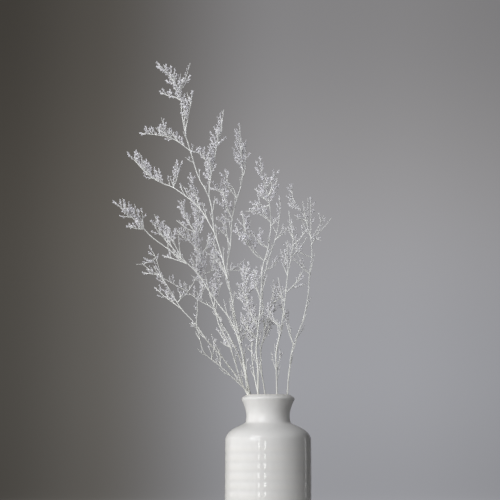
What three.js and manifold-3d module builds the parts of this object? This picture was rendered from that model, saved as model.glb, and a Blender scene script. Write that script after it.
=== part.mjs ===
// Dried statice: eleven cut sprays, standing in a white glazed bottle vase.
// Millimetres. +Z is up, and the origin is the centre of the vase's base. The bunch is widest along X.
import * as THREE from 'three';
import { mergeVertices } from 'three/addons/utils/BufferGeometryUtils.js';
import Module from 'manifold-3d';

const wasm = await Module();
wasm.setup();

// The vase
const VASE_HEIGHT = 170;
const BODY_RADIUS = 47.5;
const NECK_RADIUS = 24.1;
const LIP_RADIUS = 29.8;
const WALL = 4;
const FLOOR = 5;
const HEEL = 4;
const RING_LOW = 12;
const RING_PITCH = 10.3;
const RING_COUNT = 10;
const RING_DEPTH = 0.5;
const VASE_SIDES = 24;
const CURVE_STEPS = 3;

// Heights on the vase's shoulder and neck, and the radius and height of points of its outline
const SHOULDER_LOW = 119;
const SHOULDER_ROUND = 130;
const SHOULDER_TOP = [31, 133];
const NECK_FOOT = [27, 138];
const NECK_LOW = 140;
const NECK_MIDDLE = 147;
const NECK_HIGH = 154;
const INNER_NECK_FOOT = [27, 133];
const INNER_SHOULDER = [39, 126];

// The rolled lip, with depths below the rim
const LIP_ROOT_DEPTH = 7.4;
const LIP_ROUND_DEPTH = 4.8;
const LIP_CREST_RADIUS = 25.5;
const MOUTH_RADIUS = 23.6;
const MOUTH_DEPTH = 2.5;

// Stems and branches
const SEAT_GAP = 0.3;
const FOOT_RADIUS = 1.25;
const TIP_RADIUS = 0.6;
const TWIG_RADIUS = 0.55;
const BRANCH_TAPER = 0.8;
const CLEAR = 0.35;
const LINE_TOLERANCE = 0.4;
const STEPS = 6;

// How far up the way to the rim a stem runs straight, and the points of its line below the route
const STRAIGHT_SHARE = 0.87;
const HIDDEN_POINTS = 3;

// Depths that a branch tries in turn, as shares of its span, until it is clear of the other sprays
const DEPTHS = [0.3, -0.3, 0.12, -0.12, 0.5, -0.5, 0.75, -0.75];

// Turns about its parent that a twig or spike tries until it is clear, in radians
const TURNS = [0, 0.6, -0.6, 1.2, -1.2, 1.9, -1.9, 2.6, -2.6];

// Twigs
const TWIG_PITCH = 36;
const TWIG_LONG = 21;
const TWIG_SHORT = 11;
const TWIG_RISE = 0.18;

// Spikes of florets
const SPIKE_PITCH = 10;
const SPIKE_GROWTH = 1.25;
const SPIKE_ROOM = 3.6;
const SPIKE_OPEN = THREE.MathUtils.degToRad(48);
const SPIKE_SPREAD = THREE.MathUtils.degToRad(48);
const SPIKE_LIFT = 0.3;
const CROWN_START = 0.4;
const TIP_START = 1.1;
const TIP_GROWTH = 1.15;
const TIP_ROOM = 0.9;
const TIP_TURN = 0.4;
const FLORET_RADIUS = 2.6;
const FLORET_WAIST = 1.4;
const FLORET_PITCH = 9;
const FLORET_WIDEST = 0.6;
const FLORET_LEAN = 0.8;

// The side of a branch that its spikes stand on, as a direction in the XZ plane
const UP = [0, 1];
const LEFT = [-1, 0.3];
const RIGHT = [1, 0.3];

// Each spray has a foot (X, Y on the vase's floor), a place in the mouth (X, Y), the Y of its tip, and a
// route of X, Z points above the rim. A branch leaves its parent's route at the point numbered "at". Florets
// start after the share "bare" of the route, on spikes that go from "long" to "short" millimetres.
const SPRAYS = [
  {
    name: 'spray_low', foot: [30, -24], mouth: [-20.5, -9.6], tip: -62,
    bare: 0.82, side: LEFT, long: 5, short: 4,
    route: [[-31, 181], [-52, 200], [-70, 215], [-75, 231], [-78, 247], [-77, 260], [-77, 272]],
    branches: [
      { at: 1, route: [[-53, 212], [-57, 224]], bare: 0.6, long: 5, short: 4 },
      { at: 1.5, route: [[-62, 214], [-66, 222]], bare: 0.5, long: 4, short: 4 },
      { at: 4, route: [[-81, 245], [-84, 247]], long: 5, short: 4 },
    ],
  },
  {
    name: 'spray_lower_left', foot: [24, -15], mouth: [-21.7, -6.4], tip: -46,
    bare: 0.66, side: LEFT, long: 9, short: 8,
    route: [
      [-35, 190], [-51, 211], [-68, 230], [-80, 247], [-95, 263], [-108, 284], [-117, 299], [-123, 318],
      [-130, 331],
    ],
    branches: [
      { at: 4, route: [[-107, 272], [-117, 280], [-125, 288]] },
      { at: 4.3, route: [[-96, 275], [-99, 285]], long: 7, short: 6 },
      { at: 6, route: [[-127, 301], [-138, 303]] },
      { at: 7, route: [[-129, 313], [-135, 318]] },
    ],
  },
  {
    name: 'spray_left', foot: [26, -7], mouth: [-22.4, -3.2], tip: -26,
    bare: 0.86, long: 14, short: 9,
    route: [
      [-25, 195], [-31, 224], [-41, 251], [-55, 270], [-66, 285], [-76, 301], [-89, 314], [-109, 329],
      [-128, 343], [-137, 352], [-157, 371], [-171, 383],
    ],
    branches: [
      { at: 6.3, route: [[-103, 329], [-113, 340], [-120, 351], [-125, 368]], bare: 0.4, long: 13 },
      { at: 6.4, route: [[-101, 331], [-108, 342], [-113, 355]], bare: 0.5 },
      { at: 6, route: [[-103, 319], [-117, 324]] },
      { at: 9, route: [[-145, 352], [-156, 355]], bare: 0.1 },
      { at: 9, route: [[-139, 365], [-140, 376]], side: LEFT },
      { at: 9.6, route: [[-155, 365], [-164, 366]], bare: 0.1 },
    ],
  },
  {
    name: 'spray_bent', foot: [36, 0], mouth: [-22.6, 0], tip: -8,
    bare: 0.68,
    route: [
      [-30, 185], [-37, 208], [-45, 230], [-54, 246], [-60, 264], [-76, 274], [-90, 284], [-104, 292],
      [-120, 301],
    ],
    branches: [
      { at: 1.6, route: [[-43, 223], [-50, 233], [-57, 244]], bare: 0.1, long: 7, short: 6 },
      { at: 4, route: [[-59, 279], [-64, 294]] },
      { at: 5, route: [[-72, 287], [-76, 295]] },
    ],
  },
  {
    name: 'spray_tall', foot: [18, 7], mouth: [-20, 3.2], tip: 12,
    bare: 0.84, side: null, long: 11, short: 10,
    route: [
      [-26, 203], [-31, 231], [-37, 259], [-42, 287], [-55, 337], [-60, 352], [-62, 373], [-66, 392],
      [-78, 415], [-87, 444], [-93, 465], [-97, 489], [-100, 514], [-125, 546],
    ],
    branches: [
      {
        at: 5, route: [[-76, 379], [-95, 396], [-107, 405], [-120, 411], [-134, 420], [-160, 448]],
        bare: 0.6, long: 15, short: 9,
        branches: [{ at: 3, route: [[-103, 413], [-101, 423], [-103, 435]], bare: 0.3, side: LEFT }],
      },
      {
        at: 7, route: [[-65, 409], [-61, 431], [-57, 454], [-52, 473], [-54, 491]],
        bare: 0.2, side: LEFT, long: 15, short: 8,
        branches: [{ at: 1.5, route: [[-68, 431], [-75, 440], [-86, 444]], bare: 0.2 }],
      },
      { at: 9, route: [[-98, 453], [-109, 460], [-123, 464], [-145, 467]], bare: 0.15, long: 10, short: 9 },
      { at: 10, route: [[-89, 485], [-86, 498], [-85, 510]], side: LEFT, long: 9, short: 7 },
      { at: 11.5, route: [[-105, 506], [-113, 508], [-122, 513]], bare: 0.1, long: 8, short: 7 },
      { at: 12, route: [[-97, 520], [-95, 527]], bare: 0.1, long: 5, short: 5 },
      { at: 12.4, route: [[-106, 531], [-105, 539]], bare: 0.1, long: 5, short: 5 },
    ],
  },
  {
    name: 'spray_middle', foot: [28, 16], mouth: [-21.7, 6.4], tip: 46,
    bare: 0.84, side: LEFT, long: 12, short: 8,
    route: [
      [-26, 197], [-30, 225], [-37, 247], [-40, 275], [-46, 309], [-42, 339], [-40, 370], [-35, 392],
      [-29, 414], [-30, 443], [-32, 481],
    ],
    branches: [
      { at: 1, route: [[-27, 236], [-22, 246], [-20, 256]], bare: 0.2, long: 6, short: 5 },
      { at: 2, route: [[-31, 242], [-28, 251]], long: 7, short: 6 },
      { at: 4, route: [[-40, 311], [-33, 311], [-28, 313]], bare: 0.2, long: 8, short: 7 },
      { at: 4, route: [[-55, 318], [-62, 326], [-70, 330]] },
      { at: 5, route: [[-46, 351], [-47, 368], [-47, 382]], side: LEFT, long: 8, short: 7 },
      {
        at: 6, route: [[-45, 378], [-51, 384], [-59, 387]],
        branches: [{ at: 1, route: [[-47, 388], [-49, 398], [-56, 402], [-65, 406]], long: 12 }],
      },
      { at: 7, route: [[-39, 405], [-45, 411], [-47, 425]], bare: 0.4, side: LEFT },
      { at: 8, route: [[-26, 426], [-25, 440], [-26, 454]], side: LEFT, long: 8, short: 7 },
    ],
  },
  {
    name: 'spray_inner', foot: [22, 21], mouth: [-19.5, 9.8], tip: 76,
    bare: 0.52, side: LEFT, long: 12, short: 7,
    route: [
      [-27, 202], [-35, 220], [-45, 240], [-56, 260], [-64, 281], [-71, 309], [-76, 331], [-79, 356],
      [-79, 380], [-83, 405], [-89, 428],
    ],
    branches: [
      { at: 4, route: [[-59, 292], [-55, 307], [-52, 318]], long: 12 },
      { at: 4.4, route: [[-76, 303], [-82, 318], [-87, 328]], bare: 0.1, side: LEFT, long: 9, short: 6 },
      { at: 5, route: [[-65, 311], [-61, 324], [-62, 339]], side: RIGHT, long: 12 },
      { at: 6, route: [[-84, 341], [-91, 348]] },
      { at: 6, route: [[-69, 342], [-67, 356]], side: RIGHT },
      { at: 6.5, route: [[-87, 347], [-95, 350], [-105, 360]] },
      { at: 7, route: [[-86, 362], [-91, 373], [-95, 384], [-95, 396]], side: LEFT },
    ],
  },
  {
    name: 'spray_centre', foot: [2, -30], mouth: [-11, -13], tip: -34,
    bare: 0.8, side: null, long: 13, short: 7,
    route: [
      [-11, 195], [-13, 220], [-11, 242], [-8, 275], [-6, 309], [0, 331], [3, 359], [0, 387], [-6, 407],
      [-9, 431],
    ],
    branches: [
      {
        at: -1, route: [[-15, 190], [-18, 215], [-18, 240], [-17, 262], [-18, 280]],
        bare: 0.5, side: null, long: 7, short: 5,
      },
      { at: 1.5, route: [[-19, 236], [-26, 247], [-29, 259]] },
      {
        at: 2, route: [[-20, 262], [-25, 281], [-25, 303], [-21, 318]], bare: 0.2, side: null, long: 9,
        branches: [
          { at: 1.3, route: [[-29, 286], [-35, 291]] },
          { at: 2, route: [[-18, 294], [-16, 309]], side: RIGHT },
        ],
      },
      {
        at: 4.3, route: [[-14, 323], [-23, 334], [-31, 342], [-35, 356]],
        branches: [{ at: 2, route: [[-26, 347], [-27, 360], [-28, 372]], side: RIGHT }],
      },
      { at: 3, route: [[-12, 285], [-14, 297], [-13, 309]], side: LEFT, long: 8, short: 6 },
      { at: 5, route: [[-7, 334], [-12, 340], [-16, 348]], bare: 0.15 },
      { at: 6, route: [[-7, 366], [-18, 369]], bare: 0.15 },
      { at: 6.6, route: [[-3, 375], [-11, 378], [-20, 373]], bare: 0.15 },
      { at: 7, route: [[4, 398], [2, 407]], side: RIGHT },
      { at: 6.8, route: [[-7, 387], [-10, 396]] },
    ],
  },
  {
    name: 'spray_right_centre', foot: [-16, 31], mouth: [-3.5, 12.8], tip: 26,
    bare: 0.86, side: LEFT, long: 8, short: 7,
    route: [
      [-7, 195], [-8, 220], [-4, 242], [-6, 275], [-4, 303], [2, 326], [8, 344], [12, 362], [14, 381],
      [13, 395],
    ],
    branches: [
      { at: 1.4, route: [[-1, 240], [2, 252], [3, 263]], bare: 0.2, side: RIGHT, long: 6, short: 5 },
      { at: 2, route: [[2, 266], [6, 283], [6, 298]], side: RIGHT },
      { at: 4.3, route: [[4, 313], [9, 318], [9, 326]] },
      { at: 6, route: [[15, 353], [17, 362]], side: RIGHT, long: 7, short: 6 },
    ],
  },
  {
    name: 'spray_short_right', foot: [-4, -36], mouth: [9.5, -13], tip: -62,
    bare: 0.78, long: 7, short: 6,
    route: [[9, 195], [9, 217], [14, 242], [18, 270], [21, 298], [25, 318], [27, 337], [25, 358]],
    branches: [
      { at: 0, route: [[11, 203], [13, 212], [13, 220]], long: 5, short: 4 },
      { at: 1.3, route: [[13, 236], [12, 248]], long: 6, short: 5 },
      { at: 2, route: [[3, 253], [0, 270]] },
      { at: 3, route: [[11, 279], [7, 287]] },
      { at: 3.3, route: [[27, 287], [33, 294], [35, 303]], side: RIGHT },
      { at: 4, route: [[17, 309], [19, 318], [18, 326]] },
      { at: 5, route: [[30, 324], [32, 332]], side: RIGHT },
      { at: 6, route: [[22, 346], [16, 350]], long: 7, short: 6 },
    ],
  },
  {
    name: 'spray_right', foot: [-6, 36], mouth: [21.2, 0], tip: 48,
    bare: 0.86, side: RIGHT, long: 8, short: 7,
    route: [
      [23, 192], [27, 220], [32, 235], [39, 253], [45, 281], [47, 307], [50, 326], [49, 348], [49, 370],
      [49, 396],
    ],
    branches: [
      { at: 1.3, route: [[23, 242], [18, 262], [12, 273]], bare: 0.5, long: 8, short: 6 },
      { at: 5, route: [[39, 313], [32, 321], [26, 321], [18, 320]], long: 10 },
      { at: 6, route: [[40, 330], [33, 336], [18, 342]] },
      { at: 6.6, route: [[54, 347], [60, 345]], long: 7, short: 6 },
      {
        at: 7, route: [[46, 360], [41, 376], [35, 386], [29, 396], [28, 413]], side: LEFT,
        branches: [
          { at: 1.5, route: [[39, 371], [32, 370]] },
          { at: 1, route: [[42, 376], [42, 385]], side: RIGHT },
        ],
      },
      { at: 7, route: [[56, 358], [60, 367], [57, 376]], side: RIGHT, long: 7, short: 6 },
    ],
  },
];

// Defaults of a branch and of a twig
const BRANCH = { bare: 0.3, side: UP, long: 10, short: 7, branches: [] };
const TWIG = { ...BRANCH, long: 8 };

const materials = {
  glaze: new THREE.MeshStandardMaterial({ color: 0xd9d9d5, roughness: 0.25, metalness: 0 }),
  statice: new THREE.MeshStandardMaterial({ color: 0xcbc8ce, roughness: 0.85, metalness: 0 }),
};

// A repeatable row of numbers from 0 to 1
function seeded(seed) {
  let state = seed;
  return () => {
    state = (Math.imul(state, 1664525) + 1013904223) >>> 0;
    return state / 4294967296;
  };
}

function mix(a, b, share) {
  return a + (b - a) * share;
}

function between(random, low, high) {
  return mix(low, high, random());
}

// Vase

function vaseOutline() {
  const inner = BODY_RADIUS - WALL;
  const innerNeck = NECK_RADIUS - WALL;
  const lipEdge = LIP_RADIUS - 0.8;
  const outline = new THREE.Path();
  outline.moveTo(0, 0);
  outline.lineTo(BODY_RADIUS - HEEL, 0);
  outline.lineTo(BODY_RADIUS - 0.3 * HEEL, 0.3 * HEEL);
  outline.lineTo(BODY_RADIUS, HEEL);
  for (let ring = 0; ring < RING_COUNT; ring += 1) {
    const z = RING_LOW + ring * RING_PITCH;
    outline.lineTo(BODY_RADIUS - RING_DEPTH, z);
    outline.lineTo(BODY_RADIUS, z + RING_PITCH / 2);
  }
  outline.lineTo(BODY_RADIUS, SHOULDER_LOW);
  outline.bezierCurveTo(BODY_RADIUS, SHOULDER_ROUND, ...SHOULDER_TOP, ...NECK_FOOT);
  outline.quadraticCurveTo(NECK_RADIUS, NECK_LOW, NECK_RADIUS, NECK_MIDDLE);
  outline.quadraticCurveTo(NECK_RADIUS, NECK_HIGH, lipEdge, VASE_HEIGHT - LIP_ROOT_DEPTH);
  outline.bezierCurveTo(
    LIP_RADIUS + 0.9, VASE_HEIGHT - LIP_ROUND_DEPTH,
    LIP_RADIUS - 0.6, VASE_HEIGHT,
    LIP_CREST_RADIUS, VASE_HEIGHT,
  );
  outline.lineTo(MOUTH_RADIUS, VASE_HEIGHT - MOUTH_DEPTH);
  outline.lineTo(innerNeck, NECK_HIGH);
  outline.lineTo(innerNeck, NECK_LOW);
  outline.lineTo(...INNER_NECK_FOOT);
  outline.lineTo(...INNER_SHOULDER);
  outline.lineTo(inner, SHOULDER_LOW - WALL);
  outline.lineTo(inner, FLOOR + HEEL);
  outline.lineTo(inner - HEEL, FLOOR);
  outline.lineTo(0, FLOOR);
  return outline.getPoints(CURVE_STEPS);
}

function vase() {
  // The outline is drawn in X and Y and turned round Y, which then becomes Z.
  const geometry = new THREE.LatheGeometry(vaseOutline(), VASE_SIDES).rotateX(Math.PI / 2);
  const mesh = new THREE.Mesh(geometry, materials.glaze);
  mesh.name = 'vase';
  return mesh;
}

// Lines

function smooth(points) {
  const line = new THREE.CatmullRomCurve3(points).getPoints(STEPS * (points.length - 1));
  const reach = [0];
  for (let i = 1; i < line.length; i += 1) reach.push(reach[i - 1] + line[i].distanceTo(line[i - 1]));
  return { line, reach, length: reach[reach.length - 1] };
}

// The point and direction at a distance along a line
function along({ line, reach }, distance) {
  let i = 1;
  while (i < line.length - 1 && reach[i] < distance) i += 1;
  const share = (distance - reach[i - 1]) / (reach[i] - reach[i - 1]);
  return {
    point: line[i - 1].clone().lerp(line[i], share),
    direction: line[i].clone().sub(line[i - 1]).normalize(),
  };
}

// A line's rod: the fewest of its points that keep near it, with a radius at each.
// The other points move onto the rod.
function thin({ line, reach, length }, radii) {
  const kept = [0];
  let start = 0;
  while (start < line.length - 1) {
    let end = start + 1;
    while (end < line.length - 1 && isStraight(line, start, end + 1)) end += 1;
    for (let i = start + 1; i < end; i += 1) {
      line[i].lerpVectors(line[start], line[end], (reach[i] - reach[start]) / (reach[end] - reach[start]));
    }
    kept.push(end);
    start = end;
  }
  return kept.map((i) => ({ point: line[i], radius: mix(radii[0], radii[1], reach[i] / length) }));
}

function isStraight(line, start, end) {
  const chord = new THREE.Line3(line[start], line[end]);
  const nearest = new THREE.Vector3();
  return line.slice(start + 1, end).every((point) => {
    return chord.closestPointToPoint(point, true, nearest).distanceTo(point) < LINE_TOLERANCE;
  });
}

// Room between sprays

const rods = [];

function addRods(spray, nodes) {
  for (let i = 1; i < nodes.length; i += 1) {
    const radius = Math.max(nodes[i - 1].radius, nodes[i].radius);
    rods.push({ spray, a: nodes[i - 1].point, b: nodes[i].point, radius });
  }
}

// The shortest distance between the lines a to b and c to d
function apart(a, b, c, d) {
  const u = b.clone().sub(a);
  const v = d.clone().sub(c);
  const w = a.clone().sub(c);
  const uu = u.dot(u);
  const uv = u.dot(v);
  const vv = v.dot(v);
  const uw = u.dot(w);
  const vw = v.dot(w);
  const slant = uu * vv - uv * uv;
  let s = slant > 1e-9 ? THREE.MathUtils.clamp((uv * vw - vv * uw) / slant, 0, 1) : 0;
  const t = THREE.MathUtils.clamp((uv * s + vw) / vv, 0, 1);
  s = THREE.MathUtils.clamp((uv * t - uw) / uu, 0, 1);
  return w.addScaledVector(u, s).addScaledVector(v, -t).length();
}

function isClear(spray, nodes) {
  for (let i = 1; i < nodes.length; i += 1) {
    const { point: a, radius: ra } = nodes[i - 1];
    const { point: b, radius: rb } = nodes[i];
    const radius = Math.max(ra, rb) + CLEAR;
    for (const rod of rods) {
      if (rod.spray !== spray && apart(a, b, rod.a, rod.b) < radius + rod.radius) return false;
    }
  }
  return true;
}

// Skeleton of a spray: its stem, its branches and twigs, and the spikes that carry the florets

function growStem(spray) {
  const [footX, footY] = spray.foot;
  const [mouthX, mouthY] = spray.mouth;
  const rim = new THREE.Vector3(mouthX, mouthY, VASE_HEIGHT);
  const foot = new THREE.Vector3(footX, footY, FLOOR + SEAT_GAP);
  // The cut end is square to the leaning stem, so it is lifted until its lowest edge is at the gap.
  foot.z += (FOOT_RADIUS * Math.hypot(mouthX - footX, mouthY - footY)) / VASE_HEIGHT;
  const neck = foot.clone().lerp(rim, STRAIGHT_SHARE);
  const top = spray.route[spray.route.length - 1][1];
  const above = spray.route.map(([x, z]) => {
    const share = (z - VASE_HEIGHT) / (top - VASE_HEIGHT);
    return new THREE.Vector3(x, mix(mouthY, spray.tip, share), z);
  });
  const path = smooth([foot, neck, rim, ...above]);
  const mouthReach = path.reach[(HIDDEN_POINTS - 1) * STEPS];
  path.bloom = mouthReach + (path.length - mouthReach) * spray.bare;
  path.radii = [FOOT_RADIUS, TIP_RADIUS];
  path.nodes = thin(path, path.radii);
  path.offset = HIDDEN_POINTS;
  path.spec = spray;
  return path;
}

function growBranch(spray, parent, spec, turn) {
  const step = Math.round((spec.at + parent.offset) * STEPS);
  const start = parent.line[step];
  const parentRadius = mix(parent.radii[0], parent.radii[1], parent.reach[step] / parent.length);
  const radius = Math.max(TWIG_RADIUS, BRANCH_TAPER * parentRadius);
  const last = spec.route[spec.route.length - 1];
  const span = Math.hypot(last[0] - start.x, last[1] - start.z);
  for (const share of DEPTHS) {
    const depth = share * turn * span;
    const points = spec.route.map(([x, z], i) => {
      return new THREE.Vector3(x, start.y + (depth * (i + 1)) / spec.route.length, z);
    });
    const path = smooth([start, ...points]);
    path.radii = [radius, TWIG_RADIUS];
    path.nodes = thin(path, path.radii);
    if (isClear(spray.name, path.nodes)) {
      path.bloom = path.length * spec.bare;
      path.offset = 0;
      path.spec = spec;
      return path;
    }
  }
  throw new Error(`a branch of ${spray.name} at ${spec.at} has no clear route`);
}

// A direction that opens from a branch, turned about it from the side that its spikes stand on
function openFrom(direction, side, open, turn) {
  const toward = side ? new THREE.Vector3(side[0], 0, side[1]) : new THREE.Vector3(0, 1, 0);
  const out = toward.addScaledVector(direction, -toward.dot(direction)).normalize();
  const across = new THREE.Vector3().crossVectors(direction, out);
  return direction.clone().multiplyScalar(Math.cos(open))
    .addScaledVector(out, Math.sin(open) * Math.cos(turn))
    .addScaledVector(across, Math.sin(open) * Math.sin(turn));
}

function growTwigs(spray, parent, random) {
  const twigs = [];
  const room = parent.length - parent.bloom;
  const count = Math.floor(room / TWIG_PITCH);
  for (let i = 0; i < count; i += 1) {
    const distance = parent.bloom + (room * (i + between(random, 0.3, 0.6))) / (count + 0.5);
    const length = mix(TWIG_LONG, TWIG_SHORT, i / count) * between(random, 0.8, 1.2);
    const turn = (i % 2 ? 1 : -1) * between(random, 1.1, 2);
    const open = SPIKE_OPEN * between(random, 0.9, 1.2);
    const { point, direction } = along(parent, distance);
    for (const more of TURNS) {
      const way = openFrom(direction, parent.spec.side, open, turn + more);
      const middle = point.clone().addScaledVector(way, 0.5 * length);
      const end = point.clone().addScaledVector(way, length);
      end.z += TWIG_RISE * length;
      const path = smooth([point, middle, end]);
      path.radii = [TWIG_RADIUS, TWIG_RADIUS];
      path.nodes = thin(path, path.radii);
      if (isClear(spray.name, path.nodes)) {
        path.bloom = BRANCH.bare * length;
        path.spec = TWIG;
        twigs.push(path);
        break;
      }
    }
  }
  return twigs;
}

// A spike ends each branch. More stand on one side of it, left and right by turns, and shorten to its tip.
function growSpikes(spray, parent, random, crowns) {
  const spikes = [];
  const { side, long, short } = parent.spec;
  const spread = side ? SPIKE_SPREAD : Math.PI;
  const tip = along(parent, Math.max(parent.length - TIP_START * short, 0));
  if (!addSpike(tip, TIP_GROWTH * short, 0, 0)) addSpike(tip, short, TIP_TURN, 0);
  let distance = parent.bloom;
  for (let i = 0; distance < parent.length - TIP_ROOM * short; i += 1) {
    const share = (distance - parent.bloom) / (parent.length - parent.bloom);
    const length = SPIKE_GROWTH * mix(long, short, share) * between(random, 0.8, 1.2);
    const turn = (i % 2 ? 1 : -1) * spread * between(random, 0.15, 1);
    const open = SPIKE_OPEN * between(random, 0.75, 1.2);
    addSpike(along(parent, distance), length, open, turn);
    distance += SPIKE_PITCH * between(random, 0.8, 1.2);
  }
  return spikes;

  function addSpike({ point, direction }, length, open, turn) {
    for (const more of TURNS) {
      const way = openFrom(direction, side, open, turn + more);
      if (open > 0) {
        way.z += SPIKE_LIFT;
        way.normalize();
      }
      const end = point.clone().addScaledVector(way, length);
      const nodes = [{ point, radius: FLORET_RADIUS }, { point: end, radius: FLORET_RADIUS }];
      const crown = [point.clone().lerp(end, CROWN_START), end];
      if (crowns.every(([a, b]) => apart(...crown, a, b) > SPIKE_ROOM) && isClear(spray.name, nodes)) {
        spikes.push({ point, way, length, nodes });
        crowns.push(crown);
        return true;
      }
    }
    return false;
  }
}

// Solids

function solid(geometry) {
  geometry.deleteAttribute('normal');
  geometry.deleteAttribute('uv');
  const merged = mergeVertices(geometry, 1e-4);
  return new wasm.Manifold(new wasm.Mesh({
    numProp: 3,
    vertProperties: merged.attributes.position.array,
    triVerts: new Uint32Array(merged.index.array),
  }));
}

// A three-sided rod: a cylinder bent onto a line of points, each with its own radius
function rodSolid(nodes) {
  const steps = nodes.length - 1;
  const geometry = new THREE.CylinderGeometry(1, 1, steps, 3, steps);
  const depth = new THREE.Vector3(0, 1, 0);
  const frames = nodes.map(({ point }, i) => {
    const before = nodes[Math.max(i - 1, 0)].point;
    const after = nodes[Math.min(i + 1, steps)].point;
    const direction = after.clone().sub(before).normalize();
    const across = new THREE.Vector3().crossVectors(direction, depth).normalize();
    return { point, across, inward: new THREE.Vector3().crossVectors(across, direction) };
  });
  const position = geometry.attributes.position;
  for (let i = 0; i < position.count; i += 1) {
    const step = Math.round(position.getY(i) + steps / 2);
    const { point, across, inward } = frames[step];
    const radius = nodes[step].radius;
    const placed = point.clone()
      .addScaledVector(across, radius * position.getX(i))
      .addScaledVector(inward, radius * position.getZ(i));
    position.setXYZ(i, placed.x, placed.y, placed.z);
  }
  return solid(geometry);
}

// A spike: a three-sided row of florets, each widest above its middle, that lean left and right by turns
function spikeSolid({ point, way, length }, random) {
  const count = Math.max(1, Math.round(length / FLORET_PITCH));
  const step = length / count;
  const outline = [new THREE.Vector2(0, 0)];
  for (let i = 0; i < count; i += 1) {
    outline.push(new THREE.Vector2(FLORET_RADIUS, step * (i + FLORET_WIDEST)));
    if (i < count - 1) outline.push(new THREE.Vector2(FLORET_WAIST, step * (i + 1)));
  }
  outline.push(new THREE.Vector2(0, length));
  const geometry = new THREE.LatheGeometry(outline, 3).rotateY(2 * Math.PI * random());
  const position = geometry.attributes.position;
  for (let i = 0; i < position.count; i += 1) {
    const floret = Math.floor(position.getY(i) / step);
    const isWidest = Math.abs(position.getY(i) / step - floret - FLORET_WIDEST) < 0.1;
    const lean = floret % 2 ? FLORET_LEAN : -FLORET_LEAN;
    if (isWidest && count > 1) position.setX(i, position.getX(i) + lean);
  }
  const turned = new THREE.Quaternion().setFromUnitVectors(new THREE.Vector3(0, 1, 0), way);
  return solid(geometry.applyQuaternion(turned).translate(point.x, point.y, point.z));
}

function sprayMesh(spray, solids) {
  const joined = solids.reduce((sum, next) => sum.add(next));
  const { vertProperties, triVerts } = joined.getMesh();
  const geometry = new THREE.BufferGeometry();
  geometry.setAttribute('position', new THREE.BufferAttribute(vertProperties, 3));
  geometry.setIndex(new THREE.BufferAttribute(triVerts, 1));
  geometry.computeVertexNormals();
  const mesh = new THREE.Mesh(geometry, materials.statice);
  mesh.name = spray.name;
  return mesh;
}

// Growth goes one order at a time through all the sprays, so that finer pieces find the coarser in place.
function growSprays() {
  const plants = SPRAYS.map((spray, i) => ({ spray, random: seeded(1000 + i), paths: [growStem(spray)] }));
  for (const { spray, paths } of plants) addRods(spray.name, paths[0].nodes);
  for (const plant of plants) {
    let turn = 1;
    const grow = (parent, specs) => {
      for (const given of specs) {
        const path = growBranch(plant.spray, parent, { ...BRANCH, ...given }, turn);
        turn = -turn;
        plant.paths.push(path);
        addRods(plant.spray.name, path.nodes);
        grow(path, path.spec.branches);
      }
    };
    plant.paths[0].spec = { ...BRANCH, ...plant.spray };
    grow(plant.paths[0], plant.spray.branches);
  }
  for (const plant of plants) {
    for (const parent of [...plant.paths]) {
      for (const twig of growTwigs(plant.spray, parent, plant.random)) {
        plant.paths.push(twig);
        addRods(plant.spray.name, twig.nodes);
      }
    }
  }
  for (const plant of plants) {
    plant.spikes = [];
    const crowns = [];
    for (const parent of plant.paths) {
      for (const spike of growSpikes(plant.spray, parent, plant.random, crowns)) {
        plant.spikes.push(spike);
        addRods(plant.spray.name, spike.nodes);
      }
    }
  }
  return plants;
}

const plants = growSprays();

const statice = new THREE.Group();
statice.add(vase());
for (const { spray, random, paths, spikes } of plants) {
  const solids = paths.map((path) => rodSolid(path.nodes));
  for (const spike of spikes) solids.push(spikeSolid(spike, random));
  statice.add(sprayMesh(spray, solids));
}

export default statice;
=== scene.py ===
import functools
import math

import bpy
import numpy as np
from bpy.props import FloatProperty, FloatVectorProperty, IntProperty, PointerProperty
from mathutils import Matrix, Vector


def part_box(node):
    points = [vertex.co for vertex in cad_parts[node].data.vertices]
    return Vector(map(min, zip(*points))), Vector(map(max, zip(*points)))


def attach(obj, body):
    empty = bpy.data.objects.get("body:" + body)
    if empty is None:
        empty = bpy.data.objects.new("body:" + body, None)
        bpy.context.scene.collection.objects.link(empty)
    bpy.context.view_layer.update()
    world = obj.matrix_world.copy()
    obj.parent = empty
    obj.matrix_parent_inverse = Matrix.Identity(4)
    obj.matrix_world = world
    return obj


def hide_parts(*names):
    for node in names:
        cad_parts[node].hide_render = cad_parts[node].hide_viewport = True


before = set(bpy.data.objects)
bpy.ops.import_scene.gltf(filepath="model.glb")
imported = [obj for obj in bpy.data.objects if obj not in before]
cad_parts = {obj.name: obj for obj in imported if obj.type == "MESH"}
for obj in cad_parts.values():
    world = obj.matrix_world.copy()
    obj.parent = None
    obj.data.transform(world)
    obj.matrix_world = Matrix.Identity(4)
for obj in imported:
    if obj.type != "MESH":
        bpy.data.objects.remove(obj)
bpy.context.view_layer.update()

bl_info = {
    "name": "Dried Statice",
    "version": (1, 0, 0),
    "blender": (4, 5, 0),
    "location": "3D View > Sidebar > Statice",
    "description": "Dresses cut sprays of dried statice and the glazed bottle vase that holds them",
    "category": "Object",
}

# Growth is worked out in millimetres, as on the part, and meshes are made in metres.
MM = 0.001
VASE_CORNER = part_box("vase")[1] / MM
BODY_RADIUS, VASE_HEIGHT = VASE_CORNER.x, VASE_CORNER.z

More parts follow.
